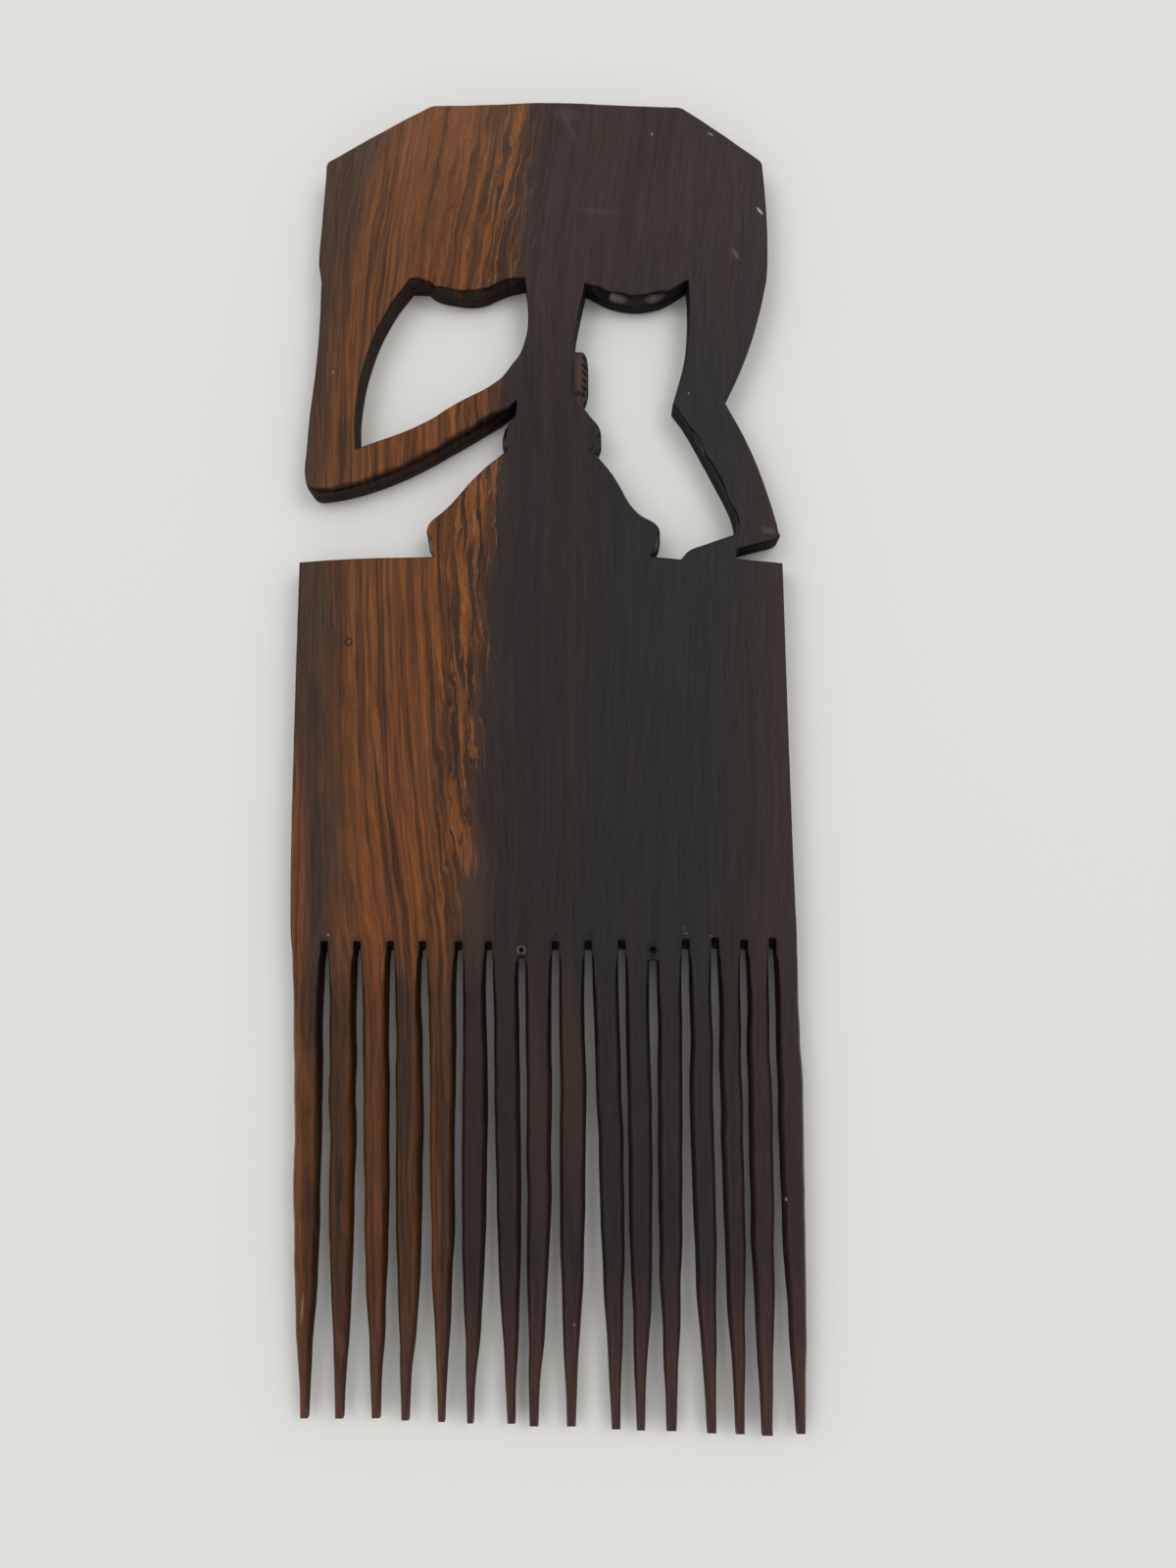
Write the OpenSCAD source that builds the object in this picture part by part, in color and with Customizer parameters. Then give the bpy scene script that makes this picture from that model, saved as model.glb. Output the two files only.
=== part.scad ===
// Afro pick carved from one flat hardwood board: an openwork figure as the handle, a blade and 16 teeth.
// X runs across the comb, Y along it with the handle at +Y, and Z up through the thickness.
// The back of the board lies on z = 0, and the origin is in the middle of the comb's length and width.
// The board has no joints. It is drawn as its carved regions, which meet face to face on flat cuts.

/* [Board] */
// Overall width of the comb
comb_w = 83.5; // [60:0.5:110]
// Thickness of the board
board_t = 5.5; // [4:0.1:8]
// Rounding of the carved edges
edge_ease = 0.7; // [0.3:0.05:1.2]

/* [Figure handle] */
// Height of the figure above the blade
figure_h = 82; // [60:0.5:110]
// Width of each groove in the ribbed knuckles
rib_groove_w = 0.45; // [0.2:0.05:0.7]
// Depth of each groove in the ribbed knuckles
rib_groove_depth = 0.7; // [0.3:0.05:1]

/* [Blade] */
// Height of the blade from the roots of the teeth to the figure
blade_h = 66; // [40:0.5:90]
// Diameter of the two round pits at the ends of slots
pit_d = 1.5; // [0.8:0.1:2]
// Depth of the pits
pit_depth = 1.6; // [0.5:0.1:3]
// Height of the pits' centres above the roots of the teeth
pit_rise = 2.1; // [1.9:0.1:4]

/* [Teeth] */
// Length of the longest tooth below the roots
tooth_len = 74; // [50:0.5:100]
// Width of the saw slots between the teeth
slot_w = 1.3; // [0.6:0.05:1.6]
// Reach of the slots above the roots on the front face
slot_front_rise = 3.5; // [2.6:0.1:6]
// Reach of the slots above the roots on the back face
slot_back_rise = 1.7; // [0.8:0.1:2.4]
// Reach above the roots of a slot that ends below a pit
pit_slot_rise = 0.8; // [0.4:0.1:0.9]
// Bevel along the slots
slot_ease = 0.35; // [0.1:0.05:0.6]
// Rounding of the teeth's long edges, across a tooth
tooth_round_w = 1.1; // [0.5:0.05:1.5]
// Rounding of the teeth's long edges, through the thickness
tooth_round_t = 2; // [0.8:0.1:2.5]
// Width of a tooth near its tip
tip_w = 1.4; // [0.8:0.05:2]
// Thickness of a tooth near its tip
tip_t = 2.6; // [1.6:0.1:4]
// Height of a tip's underside above the back face
tip_lift = 0.9; // [0:0.1:1.2]

/* [Hidden] */

// Levels along the comb
comb_l = tooth_len + blade_h + figure_h;
root_y = tooth_len - comb_l / 2;
blade_top_y = root_y + blade_h;

// How far a cutting tool runs past the face that it opens
overrun = board_t / 5;

// Points that each rounded corner of an outline takes
corner_steps = 4;

// Colours of the wood, from the orange sapwood side to the black heartwood side
sap_brown = "#80502C";
mid_brown = "#54382A";
heart_black = "#37312F";

// Edge rounding as rings: how far in and how far up each ring lies, as shares of the rounding
ease_ring_shares = [[1, 0], [0.3, 0.3], [0, 1]];

// Outlines of the figure. Each row has a share of comb_w across, a share of figure_h above the blade,
// and how much of the straight stretches beside the point its rounding takes, from 0 to 0.5.
// A cut between two regions ends in the same named shares on both sides.
arm_top_out_share = [-0.465, 0.606, 0];
arm_top_in_share = [-0.283, 0.604, 0];
column_top_left_share = [-0.047, 0.598, 0];
column_top_right_share = [0.078, 0.596, 0];
thigh_top_in_share = [0.287, 0.602, 0];
thigh_top_out_share = [0.448, 0.600, 0];
elbow_out_share = [-0.488, 0.239, 0];
elbow_in_share = [-0.386, 0.246, 0];
forearm_end_top_share = [-0.075, 0.420, 0];
forearm_end_low_share = [-0.062, 0.344, 0];
knuckle_top_share = [0.057, 0.450, 0];
knuckle_low_in_share = [0.056, 0.332, 0];
knuckle_low_out_share = [0.076, 0.325, 0];
collar_low_left_share = [-0.082, 0.238, 0];
collar_low_right_share = [0.097, 0.224, 0];
skirt_foot_left_share = [-0.226, 0.017, 0];
skirt_foot_right_share = [0.210, 0.016, 0];
knee_in_share = [0.255, 0.336, 0];
knee_out_share = [0.359, 0.344, 0];
ankle_in_share = [0.381, 0.085, 0];
ankle_out_share = [0.462, 0.085, 0];
toe_share = [0.270, 0.010, 0];
sole_end_share = [0.380, 0.011, 0];

left_scallop_shares = [
    arm_top_in_share, [-0.249, 0.603, 0.1], [-0.231, 0.586, 0.4], [-0.171, 0.574, 0.5],
    [-0.094, 0.594, 0.4], column_top_left_share
];
right_scallop_shares = [
    column_top_right_share, [0.091, 0.590, 0.2], [0.124, 0.570, 0.5], [0.181, 0.558, 0.5],
    [0.239, 0.569, 0.5], thigh_top_in_share
];
crown_shares = [
    thigh_top_out_share, [0.452, 0.640, 0.5], [0.452, 0.740, 0.5], [0.443, 0.863, 0.06],
    [0.343, 0.940, 0.5], [0.276, 0.987, 0.1], [0.165, 0.991, 0.5], [0.010, 1.002, 0.5],
    [-0.121, 0.996, 0.5], [-0.243, 0.995, 0.1], [-0.350, 0.935, 0.5], [-0.459, 0.869, 0.08],
    [-0.465, 0.755, 0.5], [-0.472, 0.650, 0.3], arm_top_out_share
];
arm_out_shares = [
    arm_top_out_share, [-0.466, 0.527, 0.5], [-0.471, 0.428, 0.5], [-0.484, 0.308, 0.5], elbow_out_share
];
arm_in_shares = [
    elbow_in_share, [-0.389, 0.328, 0.5], [-0.371, 0.437, 0.5], [-0.328, 0.542, 0.5], arm_top_in_share
];
forearm_low_shares = [
    elbow_out_share, [-0.490, 0.163, 0.5], [-0.448, 0.158, 0.4], [-0.368, 0.167, 0.5],
    [-0.269, 0.207, 0.5], [-0.139, 0.286, 0.5], [-0.085, 0.320, 0.5], forearm_end_low_share
];
forearm_top_shares = [
    forearm_end_top_share, [-0.101, 0.385, 0.5], [-0.189, 0.341, 0.5], [-0.249, 0.297, 0.5], elbow_in_share
];
column_left_shares = [
    column_top_left_share, [-0.040, 0.557, 0.5], [-0.038, 0.502, 0.5], [-0.053, 0.447, 0.5],
    forearm_end_top_share
];
column_right_shares = [
    knuckle_top_share, [0.056, 0.487, 0.5], [0.068, 0.547, 0.5], column_top_right_share
];
knuckle_shares = [
    knuckle_low_out_share, [0.086, 0.343, 0.5], [0.084, 0.388, 0.5], [0.085, 0.447, 0.45], knuckle_top_share
];
collar_left_shares = [
    forearm_end_low_share, [-0.065, 0.310, 0.3], [-0.092, 0.283, 0.5], [-0.091, 0.249, 0.4],
    collar_low_left_share
];
collar_right_shares = [
    collar_low_right_share, [0.114, 0.239, 0.4], [0.111, 0.274, 0.5], [0.094, 0.293, 0.5],
    knuckle_low_out_share
];
skirt_left_shares = [
    collar_low_left_share, [-0.141, 0.191, 0.5], [-0.197, 0.119, 0.5], [-0.242, 0.085, 0.4],
    [-0.239, 0.036, 0.4], skirt_foot_left_share
];
skirt_right_shares = [
    skirt_foot_right_share, [0.230, 0.040, 0.4], [0.228, 0.082, 0.4], [0.174, 0.109, 0.5],
    [0.139, 0.184, 0.5], collar_low_right_share
];
thigh_in_shares = [
    thigh_top_in_share, [0.290, 0.537, 0.5], [0.283, 0.437, 0.5], knee_in_share
];
thigh_out_shares = [
    knee_out_share, [0.398, 0.425, 0.5], [0.431, 0.517, 0.5], thigh_top_out_share
];
shin_in_shares = [
    knee_in_share, [0.285, 0.294, 0.5], [0.338, 0.189, 0.5], [0.373, 0.119, 0.5], ankle_in_share
];
shin_out_shares = [
    ankle_out_share, [0.439, 0.168, 0.5], [0.404, 0.260, 0.5], knee_out_share
];
foot_top_shares = [
    ankle_in_share, [0.381, 0.063, 0], [0.328, 0.044, 0.5], [0.286, 0.030, 0.4], toe_share
];
foot_sole_shares = [
    sole_end_share, [0.382, 0.029, 0], [0.472, 0.052, 0.3], ankle_out_share
];

// Grooves in the ribbed knuckles, and their slant in degrees
rib_grooves = 4;
rib_slant = 62;

// Outline of the blade, as shares of comb_w across and of blade_h above the roots
blade_root_left_share = [-0.494, 0, 0];
blade_root_right_share = [0.492, 0, 0];
blade_left_corner_share = [-0.496, 1.008, 0];
blade_right_corner_share = [0.473, 1.002, 0];
blade_left_shares = [blade_left_corner_share, [-0.499, 0.660, 0.5], [-0.500, 0.200, 0.5], blade_root_left_share];
blade_right_shares = [blade_root_right_share, [0.486, 0.200, 0.5], [0.478, 0.650, 0.5], blade_right_corner_share];

// Crest of the blade's top edge at the left, as a share of comb_w across and of figure_h up
blade_crest_share = [-0.398, 0.014, 0.5];

// Slots between the teeth, as shares of comb_w across
slot_shares = [
    -0.429, -0.365, -0.300, -0.237, -0.167, -0.109, -0.045, 0.021,
    0.085, 0.150, 0.211, 0.274, 0.331, 0.387, 0.442
];

// Slots that end below a round pit, counted from the left
pit_slots = [7, 11];

// Each tooth: its tip across as a share of comb_w, its length as a share of tooth_len,
// and the width of its belly as a share of its width at the root
tooth_shares = [
    [-0.456, 0.971, 0.76], [-0.389, 0.971, 0.92], [-0.319, 0.970, 0.86], [-0.263, 0.974, 0.92],
    [-0.194, 0.976, 0.80], [-0.139, 0.979, 1.00], [-0.061, 0.979, 0.92], [-0.018, 0.984, 0.92],
    [0.053, 0.984, 0.98], [0.138, 0.989, 0.98], [0.185, 0.991, 0.95], [0.243, 0.992, 0.92],
    [0.319, 0.996, 0.98], [0.373, 0.997, 0.92], [0.424, 1.000, 1.02], [0.488, 0.996, 1.00]
];

// Stations down a tooth: place along it, how far its width has still to go from tip to belly,
// how far its thickness has still to go from tip to board, how rounded its edges are,
// and how much of that size its blunt end keeps
station_shares = [
    [0, 1, 1, 0.3, 1], [0.10, 1, 0.99, 0.8, 1], [0.32, 1, 0.96, 1, 1], [0.57, 0.91, 0.86, 1, 1],
    [0.68, 0.75, 0.74, 1, 1], [0.79, 0.49, 0.55, 1, 1], [0.90, 0.19, 0.26, 1, 1],
    [0.975, 0, 0.05, 1, 1], [0.993, 0, 0, 1, 0.8], [1, 0, 0, 1, 0.35]
];

// Corner of a tooth's section: how much of the rounding each of its points takes, across and up
section_corner_shares = [[0, 1], [0.3, 0.3], [1, 0]];

// Most of a tooth's width and thickness that the rounding of one edge may take
round_w_share = 0.32;
round_t_share = 0.4;

// Place of a point that is given in shares of the figure or of the blade, with its softness
function in_figure(share) = [share.x * comb_w, blade_top_y + share.y * figure_h, share.z];
function in_blade(share) = [share.x * comb_w, root_y + share.y * blade_h, share.z];

// Point a share of the way from a to b
function between(a, b, share) = a + (b - a) * share;

// Point on the curve that rounds a corner, where s is how far along the curve it lies
function round_corner(from, corner, to, s) = between(between(from, corner, s), between(corner, to, s), s);

// Points along a run of rows, where each inner point is rounded by its softness
function soft_run(rows) = [
    for (i = [0 : len(rows) - 1])
        let (here = [rows[i].x, rows[i].y], soft = rows[i].z)
            if (i == 0 || i == len(rows) - 1 || soft == 0)
                here
            else
                let (
                    before = [rows[i - 1].x, rows[i - 1].y],
                    after = [rows[i + 1].x, rows[i + 1].y],
                    from = between(here, before, soft),
                    to = between(here, after, soft)
                )
                    each [for (k = [1 : corner_steps]) round_corner(from, here, to, (k - 1 / 2) / corner_steps)]
];

// An edge that was carved and gets rounded, and a cut where two regions meet
function carved(rows) = [soft_run(rows), 1];
function cut(rows) = [soft_run(rows), 0];
function carved_figure(shares) = carved([for (share = shares) in_figure(share)]);
function cut_figure(shares) = cut([for (share = shares) in_figure(share)]);

// Points of an outline, and for each of its sides whether it is carved
function outline_points(runs) = [for (run = runs) for (i = [0 : len(run[0]) - 2]) run[0][i]];
function outline_carved(runs) = [for (run = runs) for (i = [0 : len(run[0]) - 2]) run[1]];

// Unit normal that points into an outline from its side between a and b
function inward(a, b) = let (side = b - a) [-side.y, side.x] / norm(side);

// Place of corner i when each carved side has moved in by depth
function moved_in(points, is_carved, i, depth) =
    let (
        count = len(points),
        last = (i + count - 1) % count,
        n0 = inward(points[last], points[i]),
        n1 = inward(points[i], points[(i + 1) % count]),
        d0 = depth * is_carved[last],
        d1 = depth * is_carved[i],
        turned = n0.x * n1.y - n0.y * n1.x
    )
        abs(turned) < 0.05
            ? points[i] + (n0 * d0 + n1 * d1) / 2
            : points[i] + (d0 * [n1.y, -n1.x] + d1 * [-n0.y, n0.x]) / turned;

// Twice the area of the triangle a, b, c, positive where it turns left
function turn(a, b, c) = (b.x - a.x) * (c.y - a.y) - (b.y - a.y) * (c.x - a.x);

// Whether p lies inside the triangle a, b, c
function holds(a, b, c, p) = turn(a, b, p) >= 0 && turn(b, c, p) >= 0 && turn(c, a, p) >= 0;

// Whether the corner at place i of the list left can be clipped off as a triangle
function is_ear(points, left, i) =
    let (
        count = len(left),
        ia = left[(i + count - 1) % count],
        ib = left[i],
        ic = left[(i + 1) % count]
    )
        turn(points[ia], points[ib], points[ic]) > 0
        && len([
            for (k = left)
                if (k != ia && k != ib && k != ic && holds(points[ia], points[ib], points[ic], points[k]))
                    k
        ]) == 0;

// Triangles that fill an outline, found by clipping its corners off one by one
function triangles(points, left, i = 0, tries = 0) =
    let (count = len(left))
        count == 3
            ? [left]
            : is_ear(points, left, i) || tries > count
                ? concat(
                    [[left[(i + count - 1) % count], left[i], left[(i + 1) % count]]],
                    triangles(points, [for (k = [0 : count - 1]) if (k != i) left[k]], (i + 1) % (count - 1))
                )
                : triangles(points, left, (i + 1) % count, tries + 1);

// A flat board with the given outline, whose carved edges are rounded on both faces
module eased_board(runs) {
    points = outline_points(runs);
    is_carved = outline_carved(runs);
    count = len(points);
    rings = concat(
        [for (ring = ease_ring_shares) [ring[0] * edge_ease, ring[1] * edge_ease]],
        [
            for (k = [len(ease_ring_shares) - 1 : -1 : 0])
                [ease_ring_shares[k][0] * edge_ease, board_t - ease_ring_shares[k][1] * edge_ease]
        ]
    );
    top = (len(rings) - 1) * count;
    vertices = [
        for (ring = rings)
            for (i = [0 : count - 1])
                let (place = moved_in(points, is_carved, i, ring[0]))
                    [place.x, place.y, ring[1]]
    ];
    face = triangles([for (i = [0 : count - 1]) vertices[i]], [for (i = [0 : count - 1]) i]);
    polyhedron(
        vertices,
        concat(
            face,
            [for (f = face) [f[2] + top, f[1] + top, f[0] + top]],
            [
                for (k = [0 : len(rings) - 2])
                    for (i = [0 : count - 1])
                        let (low = k * count + i, low_next = k * count + (i + 1) % count)
                            each [[low, low + count, low_next + count], [low, low_next + count, low_next]]
            ]
        )
    );
}

// The broad plate at the top, with two scallops that hang into the windows
module crown_plate() {
    color(mid_brown)
        eased_board([
            cut_figure([arm_top_out_share, arm_top_in_share]),
            carved_figure(left_scallop_shares),
            cut_figure([column_top_left_share, column_top_right_share]),
            carved_figure(right_scallop_shares),
            cut_figure([thigh_top_in_share, thigh_top_out_share]),
            carved_figure(crown_shares)
        ]);
}

// The upper arm at the left, down to the elbow
module left_upper_arm() {
    color(sap_brown)
        eased_board([
            carved_figure(arm_out_shares),
            cut_figure([elbow_out_share, elbow_in_share]),
            carved_figure(arm_in_shares),
            cut_figure([arm_top_in_share, arm_top_out_share])
        ]);
}

// The elbow and the forearm that rises to the waist
module left_forearm() {
    color(sap_brown)
        eased_board([
            carved_figure(forearm_low_shares),
            cut_figure([forearm_end_low_share, forearm_end_top_share]),
            carved_figure(forearm_top_shares),
            cut_figure([elbow_in_share, elbow_out_share])
        ]);
}

// The column between the windows
module waist_column() {
    color(heart_black)
        eased_board([
            cut_figure([forearm_end_low_share, knuckle_low_in_share]),
            cut_figure([knuckle_low_in_share, knuckle_top_share]),
            carved_figure(column_right_shares),
            cut_figure([column_top_right_share, column_top_left_share]),
            carved_figure(column_left_shares),
            cut_figure([forearm_end_top_share, forearm_end_low_share])
        ]);
}

// The ribbed knuckles on the right side of the column, with slanted grooves
module knuckle_ribs() {
    low = in_figure(knuckle_low_out_share);
    high = in_figure(knuckle_top_share);
    rib_x = in_figure(knuckle_shares[2]).x;
    color(heart_black)
        difference() {
            eased_board([
                cut_figure([knuckle_low_in_share, knuckle_low_out_share]),
                carved_figure(knuckle_shares),
                cut_figure([knuckle_top_share, knuckle_low_in_share])
            ]);
            for (k = [1 : rib_grooves])
                translate([rib_x, between(low.y, high.y, k / (rib_grooves + 1)), board_t])
                    rotate([0, 0, -rib_slant])
                        cube([3 * rib_groove_depth, rib_groove_w, 2 * rib_groove_depth], center = true);
        }
}

// The collar below the waist, which swells out on both sides
module collar() {
    color(heart_black)
        eased_board([
            carved_figure(collar_left_shares),
            cut_figure([collar_low_left_share, collar_low_right_share]),
            carved_figure(collar_right_shares),
            cut_figure([knuckle_low_out_share, knuckle_low_in_share]),
            cut_figure([knuckle_low_in_share, forearm_end_low_share])
        ]);
}

// The bell-shaped skirt that stands on the blade
module bell_skirt() {
    color(heart_black)
        eased_board([
            carved_figure(skirt_left_shares),
            cut_figure([skirt_foot_left_share, skirt_foot_right_share]),
            carved_figure(skirt_right_shares),
            cut_figure([collar_low_right_share, collar_low_left_share])
        ]);
}

// The thigh at the right, down to the knee
module right_thigh() {
    color(heart_black)
        eased_board([
            carved_figure(thigh_in_shares),
            cut_figure([knee_in_share, knee_out_share]),
            carved_figure(thigh_out_shares),
            cut_figure([thigh_top_out_share, thigh_top_in_share])
        ]);
}

// The shin from the knee to the ankle
module right_shin() {
    color(heart_black)
        eased_board([
            carved_figure(shin_in_shares),
            cut_figure([ankle_in_share, ankle_out_share]),
            carved_figure(shin_out_shares),
            cut_figure([knee_out_share, knee_in_share])
        ]);
}

// The foot, whose toe stands on the blade and whose heel is free of it
module foot() {
    color(heart_black)
        eased_board([
            carved_figure(foot_top_shares),
            cut_figure([toe_share, sole_end_share]),
            carved_figure(foot_sole_shares),
            cut_figure([ankle_out_share, ankle_in_share])
        ]);
}

// Whether slot k ends below a pit, and how far slot k reaches above the roots on the front face
function has_pit(k) = len([for (pit_slot = pit_slots) if (pit_slot == k) k]) > 0;
function front_rise(k) = has_pit(k) ? pit_slot_rise : slot_front_rise;

// A saw slot's end, which slopes so that it reaches further up on the front face
module slot_end(k) {
    x = slot_shares[k - 1] * comb_w;
    front = front_rise(k);
    back = front * slot_back_rise / slot_front_rise;
    slope = (front - back) / board_t;
    translate([x - slot_w / 2, root_y, 0])
        rotate([90, 0, 90])
            linear_extrude(slot_w)
                polygon([
                    [-overrun, -overrun],
                    [back - slope * overrun, -overrun],
                    [front + slope * overrun, board_t + overrun],
                    [-overrun, board_t + overrun]
                ]);
}

// The bevel along both sides of a slot, on the front face
module slot_bevel(k) {
    x = slot_shares[k - 1] * comb_w;
    reach = front_rise(k) + slot_ease;
    translate([x, root_y + reach, board_t])
        rotate([90, 0, 0])
            linear_extrude(reach + overrun)
                polygon([
                    [-slot_w / 2 - slot_ease - overrun, overrun],
                    [0, -slot_w / 2 - slot_ease],
                    [slot_w / 2 + slot_ease + overrun, overrun]
                ]);
}

// The flat blade that carries the figure and the teeth
module blade() {
    right_corner = in_blade(blade_right_corner_share);
    left_corner = in_blade(blade_left_corner_share);
    color(mid_brown)
        difference() {
            eased_board([
                cut([in_blade(blade_root_left_share), in_blade(blade_root_right_share)]),
                carved([for (share = blade_right_shares) in_blade(share)]),
                carved([right_corner, in_figure(sole_end_share)]),
                cut_figure([sole_end_share, toe_share]),
                carved_figure([toe_share, skirt_foot_right_share]),
                cut_figure([skirt_foot_right_share, skirt_foot_left_share]),
                carved([in_figure(skirt_foot_left_share), in_figure(blade_crest_share), left_corner]),
                carved([for (share = blade_left_shares) in_blade(share)])
            ]);
            for (k = [1 : len(slot_shares)]) {
                slot_end(k);
                slot_bevel(k);
            }
            for (k = pit_slots)
                translate([slot_shares[k - 1] * comb_w, root_y + pit_rise, board_t - pit_depth])
                    cylinder(d = pit_d, h = pit_depth + overrun, $fn = 32);
        }
}

// Section of a tooth, centred on x, with its four long edges rounded by round_x and round_z
function tooth_section(x, y, low, w, t, round_x, round_z) = [
    for (quarter = [[1, -1], [1, 1], [-1, 1], [-1, -1]])
        let (order = quarter.x * quarter.y > 0 ? [0, 1, 2] : [2, 1, 0])
            for (k = order)
                [
                    x + quarter.x * (w / 2 - section_corner_shares[k][0] * round_x),
                    y,
                    low + t / 2 + quarter.y * (t / 2 - section_corner_shares[k][1] * round_z)
                ]
];

// One tooth, from its place between two slots down to its blunt tip
module tooth(number) {
    share = tooth_shares[number - 1];
    left = number == 1 ? blade_root_left_share.x * comb_w : slot_shares[number - 2] * comb_w + slot_w / 2;
    right = number == len(tooth_shares)
        ? blade_root_right_share.x * comb_w
        : slot_shares[number - 1] * comb_w - slot_w / 2;
    root_x = (left + right) / 2;
    root_w = right - left;
    sections = [
        for (station = station_shares)
            let (
                along = station[0],
                belly_w = root_w * between(1, share[2], min(1, along / station_shares[2][0])),
                w = between(tip_w, belly_w, station[1]) * station[4],
                t = between(tip_t, board_t, station[2]) * station[4],
                low = between(tip_lift, 0, station[2]) + between(tip_t, board_t, station[2]) / 2 - t / 2
            )
                tooth_section(
                    between(root_x, share[0] * comb_w, along),
                    root_y - along * share[1] * tooth_len,
                    low,
                    w,
                    t,
                    min(tooth_round_w * station[3], w * round_w_share),
                    min(tooth_round_t * station[3], t * round_t_share)
                )
    ];
    sides = len(sections[0]);
    ends = len(sections) - 1;
    polyhedron(
        [for (section = sections) each section],
        concat(
            [[for (i = [sides - 1 : -1 : 0]) i]],
            [[for (i = [0 : sides - 1]) ends * sides + i]],
            [
                for (k = [0 : ends - 1])
                    for (i = [0 : sides - 1])
                        let (here = k * sides + i, next = k * sides + (i + 1) % sides)
                            each [[here, next, next + sides], [here, next + sides, here + sides]]
            ]
        )
    );
}

module tooth_01() { color(sap_brown) tooth(1); }
module tooth_02() { color(sap_brown) tooth(2); }
module tooth_03() { color(sap_brown) tooth(3); }
module tooth_04() { color(sap_brown) tooth(4); }
module tooth_05() { color(sap_brown) tooth(5); }
module tooth_06() { color(mid_brown) tooth(6); }
module tooth_07() { color(mid_brown) tooth(7); }
module tooth_08() { color(mid_brown) tooth(8); }
module tooth_09() { color(heart_black) tooth(9); }
module tooth_10() { color(heart_black) tooth(10); }
module tooth_11() { color(heart_black) tooth(11); }
module tooth_12() { color(heart_black) tooth(12); }
module tooth_13() { color(heart_black) tooth(13); }
module tooth_14() { color(heart_black) tooth(14); }
module tooth_15() { color(heart_black) tooth(15); }
module tooth_16() { color(heart_black) tooth(16); }

crown_plate();
left_upper_arm();
left_forearm();
waist_column();
knuckle_ribs();
collar();
bell_skirt();
right_thigh();
right_shin();
foot();
blade();
tooth_01();
tooth_02();
tooth_03();
tooth_04();
tooth_05();
tooth_06();
tooth_07();
tooth_08();
tooth_09();
tooth_10();
tooth_11();
tooth_12();
tooth_13();
tooth_14();
tooth_15();
tooth_16();
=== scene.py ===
import math
from functools import partial

import bmesh
import bpy
from mathutils import Matrix, Vector, noise


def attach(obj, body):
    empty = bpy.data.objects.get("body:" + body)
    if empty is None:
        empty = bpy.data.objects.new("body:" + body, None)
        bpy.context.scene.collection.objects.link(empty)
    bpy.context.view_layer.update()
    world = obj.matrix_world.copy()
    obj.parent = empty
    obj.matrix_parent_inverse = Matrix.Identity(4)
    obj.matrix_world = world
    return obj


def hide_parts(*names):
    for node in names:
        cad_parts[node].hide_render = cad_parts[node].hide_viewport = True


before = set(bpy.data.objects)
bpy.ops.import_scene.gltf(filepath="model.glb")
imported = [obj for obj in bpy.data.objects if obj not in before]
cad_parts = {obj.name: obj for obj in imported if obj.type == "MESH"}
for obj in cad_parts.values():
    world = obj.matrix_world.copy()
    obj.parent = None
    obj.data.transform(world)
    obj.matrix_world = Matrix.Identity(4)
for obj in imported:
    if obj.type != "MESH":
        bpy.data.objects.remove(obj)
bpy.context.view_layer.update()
mm = 0.001  # the tables are in millimetres, Blender works in metres

# the comb: one carved board, laid out flat first; lengths in mm
comb = {
    "width": 83.5, "thick": 5.5, "halfLength": 111, "halfWidth": 42, "rightmost": 41.75,
    "figureFoot": 29.0, "figureHeight": 82.0,
    "roots": -37.0, "bladeHeight": 66.0, "toothLength": 74.0,
    "slot": 1.1, "slotFront": 3.5, "slotBack": 1.7, "slotCorner": 0.2,
    "slotField": 38.5,  # no slot lies further from the middle
    "slotTop": 4.4,  # no slot reaches further above the roots
    "sawnFurther": {9: 0.1, 10: 0.25, 12: 0.45, 13: 0.65, 14: 0.3, 15: 0.6},  # slots whose saw went a little further
    "pitted": {7: 0.8, 11: 0.4},  # slots that stop short of a round pit, and how far they reach
    "pitWidth": 1.5, "pitDepth": 1.6, "pitRise": 2.1, "pitSteps": 12,
    "pitEdge": (0.08, 0.12), "pitLip": {7: 0.26, 11: 0.06},
    "cornerSteps": 8,  # points on each rounded corner
    "spacing": 0.8,  # longest step between two points of a carved edge
    "knuckleSpacing": 0.2, "slotSpacing": 0.4,
    "arcSteps": 5,  # rings over the rounding of an edge
    "flare": 0.2,  # how much further each side of a slot is cut away at the back
    "flareLost": 0.8, "flareOver": 0.4,  # the share of it that is gone, and how far down a tooth
    "knuckles": (58.8, 60.1, 61.4, 62.7, 64.0, 65.3), "knuckleFace": 6.2,
    "knuckleGroove": 0.6, "knuckleSlant": 0.26, "knuckleReach": 0.5,
}
pitMark = 100  # marks a pit's floor until it is sunk, with its slot's number added
hair = 1e-7  # in metres, for corners that lie on the front or the back

# places in shares of the comb's width across and of the figure's height up, with their softness
armTopOut, armTopIn = (-0.465, 0.606, 0), (-0.283, 0.604, 0)
columnTopLeft, columnTopRight = (-0.047, 0.609, 0), (0.078, 0.596, 0)
thighTopIn, thighTopOut = (0.287, 0.602, 0), (0.448, 0.600, 0)
elbowOut, elbowIn = (-0.488, 0.239, 0), (-0.386, 0.246, 0)
forearmEndTop, forearmEndLow = (-0.075, 0.420, 0), (-0.062, 0.344, 0)
knuckleTop, knuckleLowIn, knuckleLowOut = (0.057, 0.451, 0), (0.054, 0.344, 0), (0.071, 0.338, 0)
collarLowLeft, collarLowRight = (-0.082, 0.238, 0), (0.093, 0.238, 0)
skirtFootLeft, skirtFootRight = (-0.226, 0.017, 0), (0.210, 0.016, 0)
kneeIn, kneeOut = (0.255, 0.336, 0), (0.359, 0.344, 0)
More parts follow.
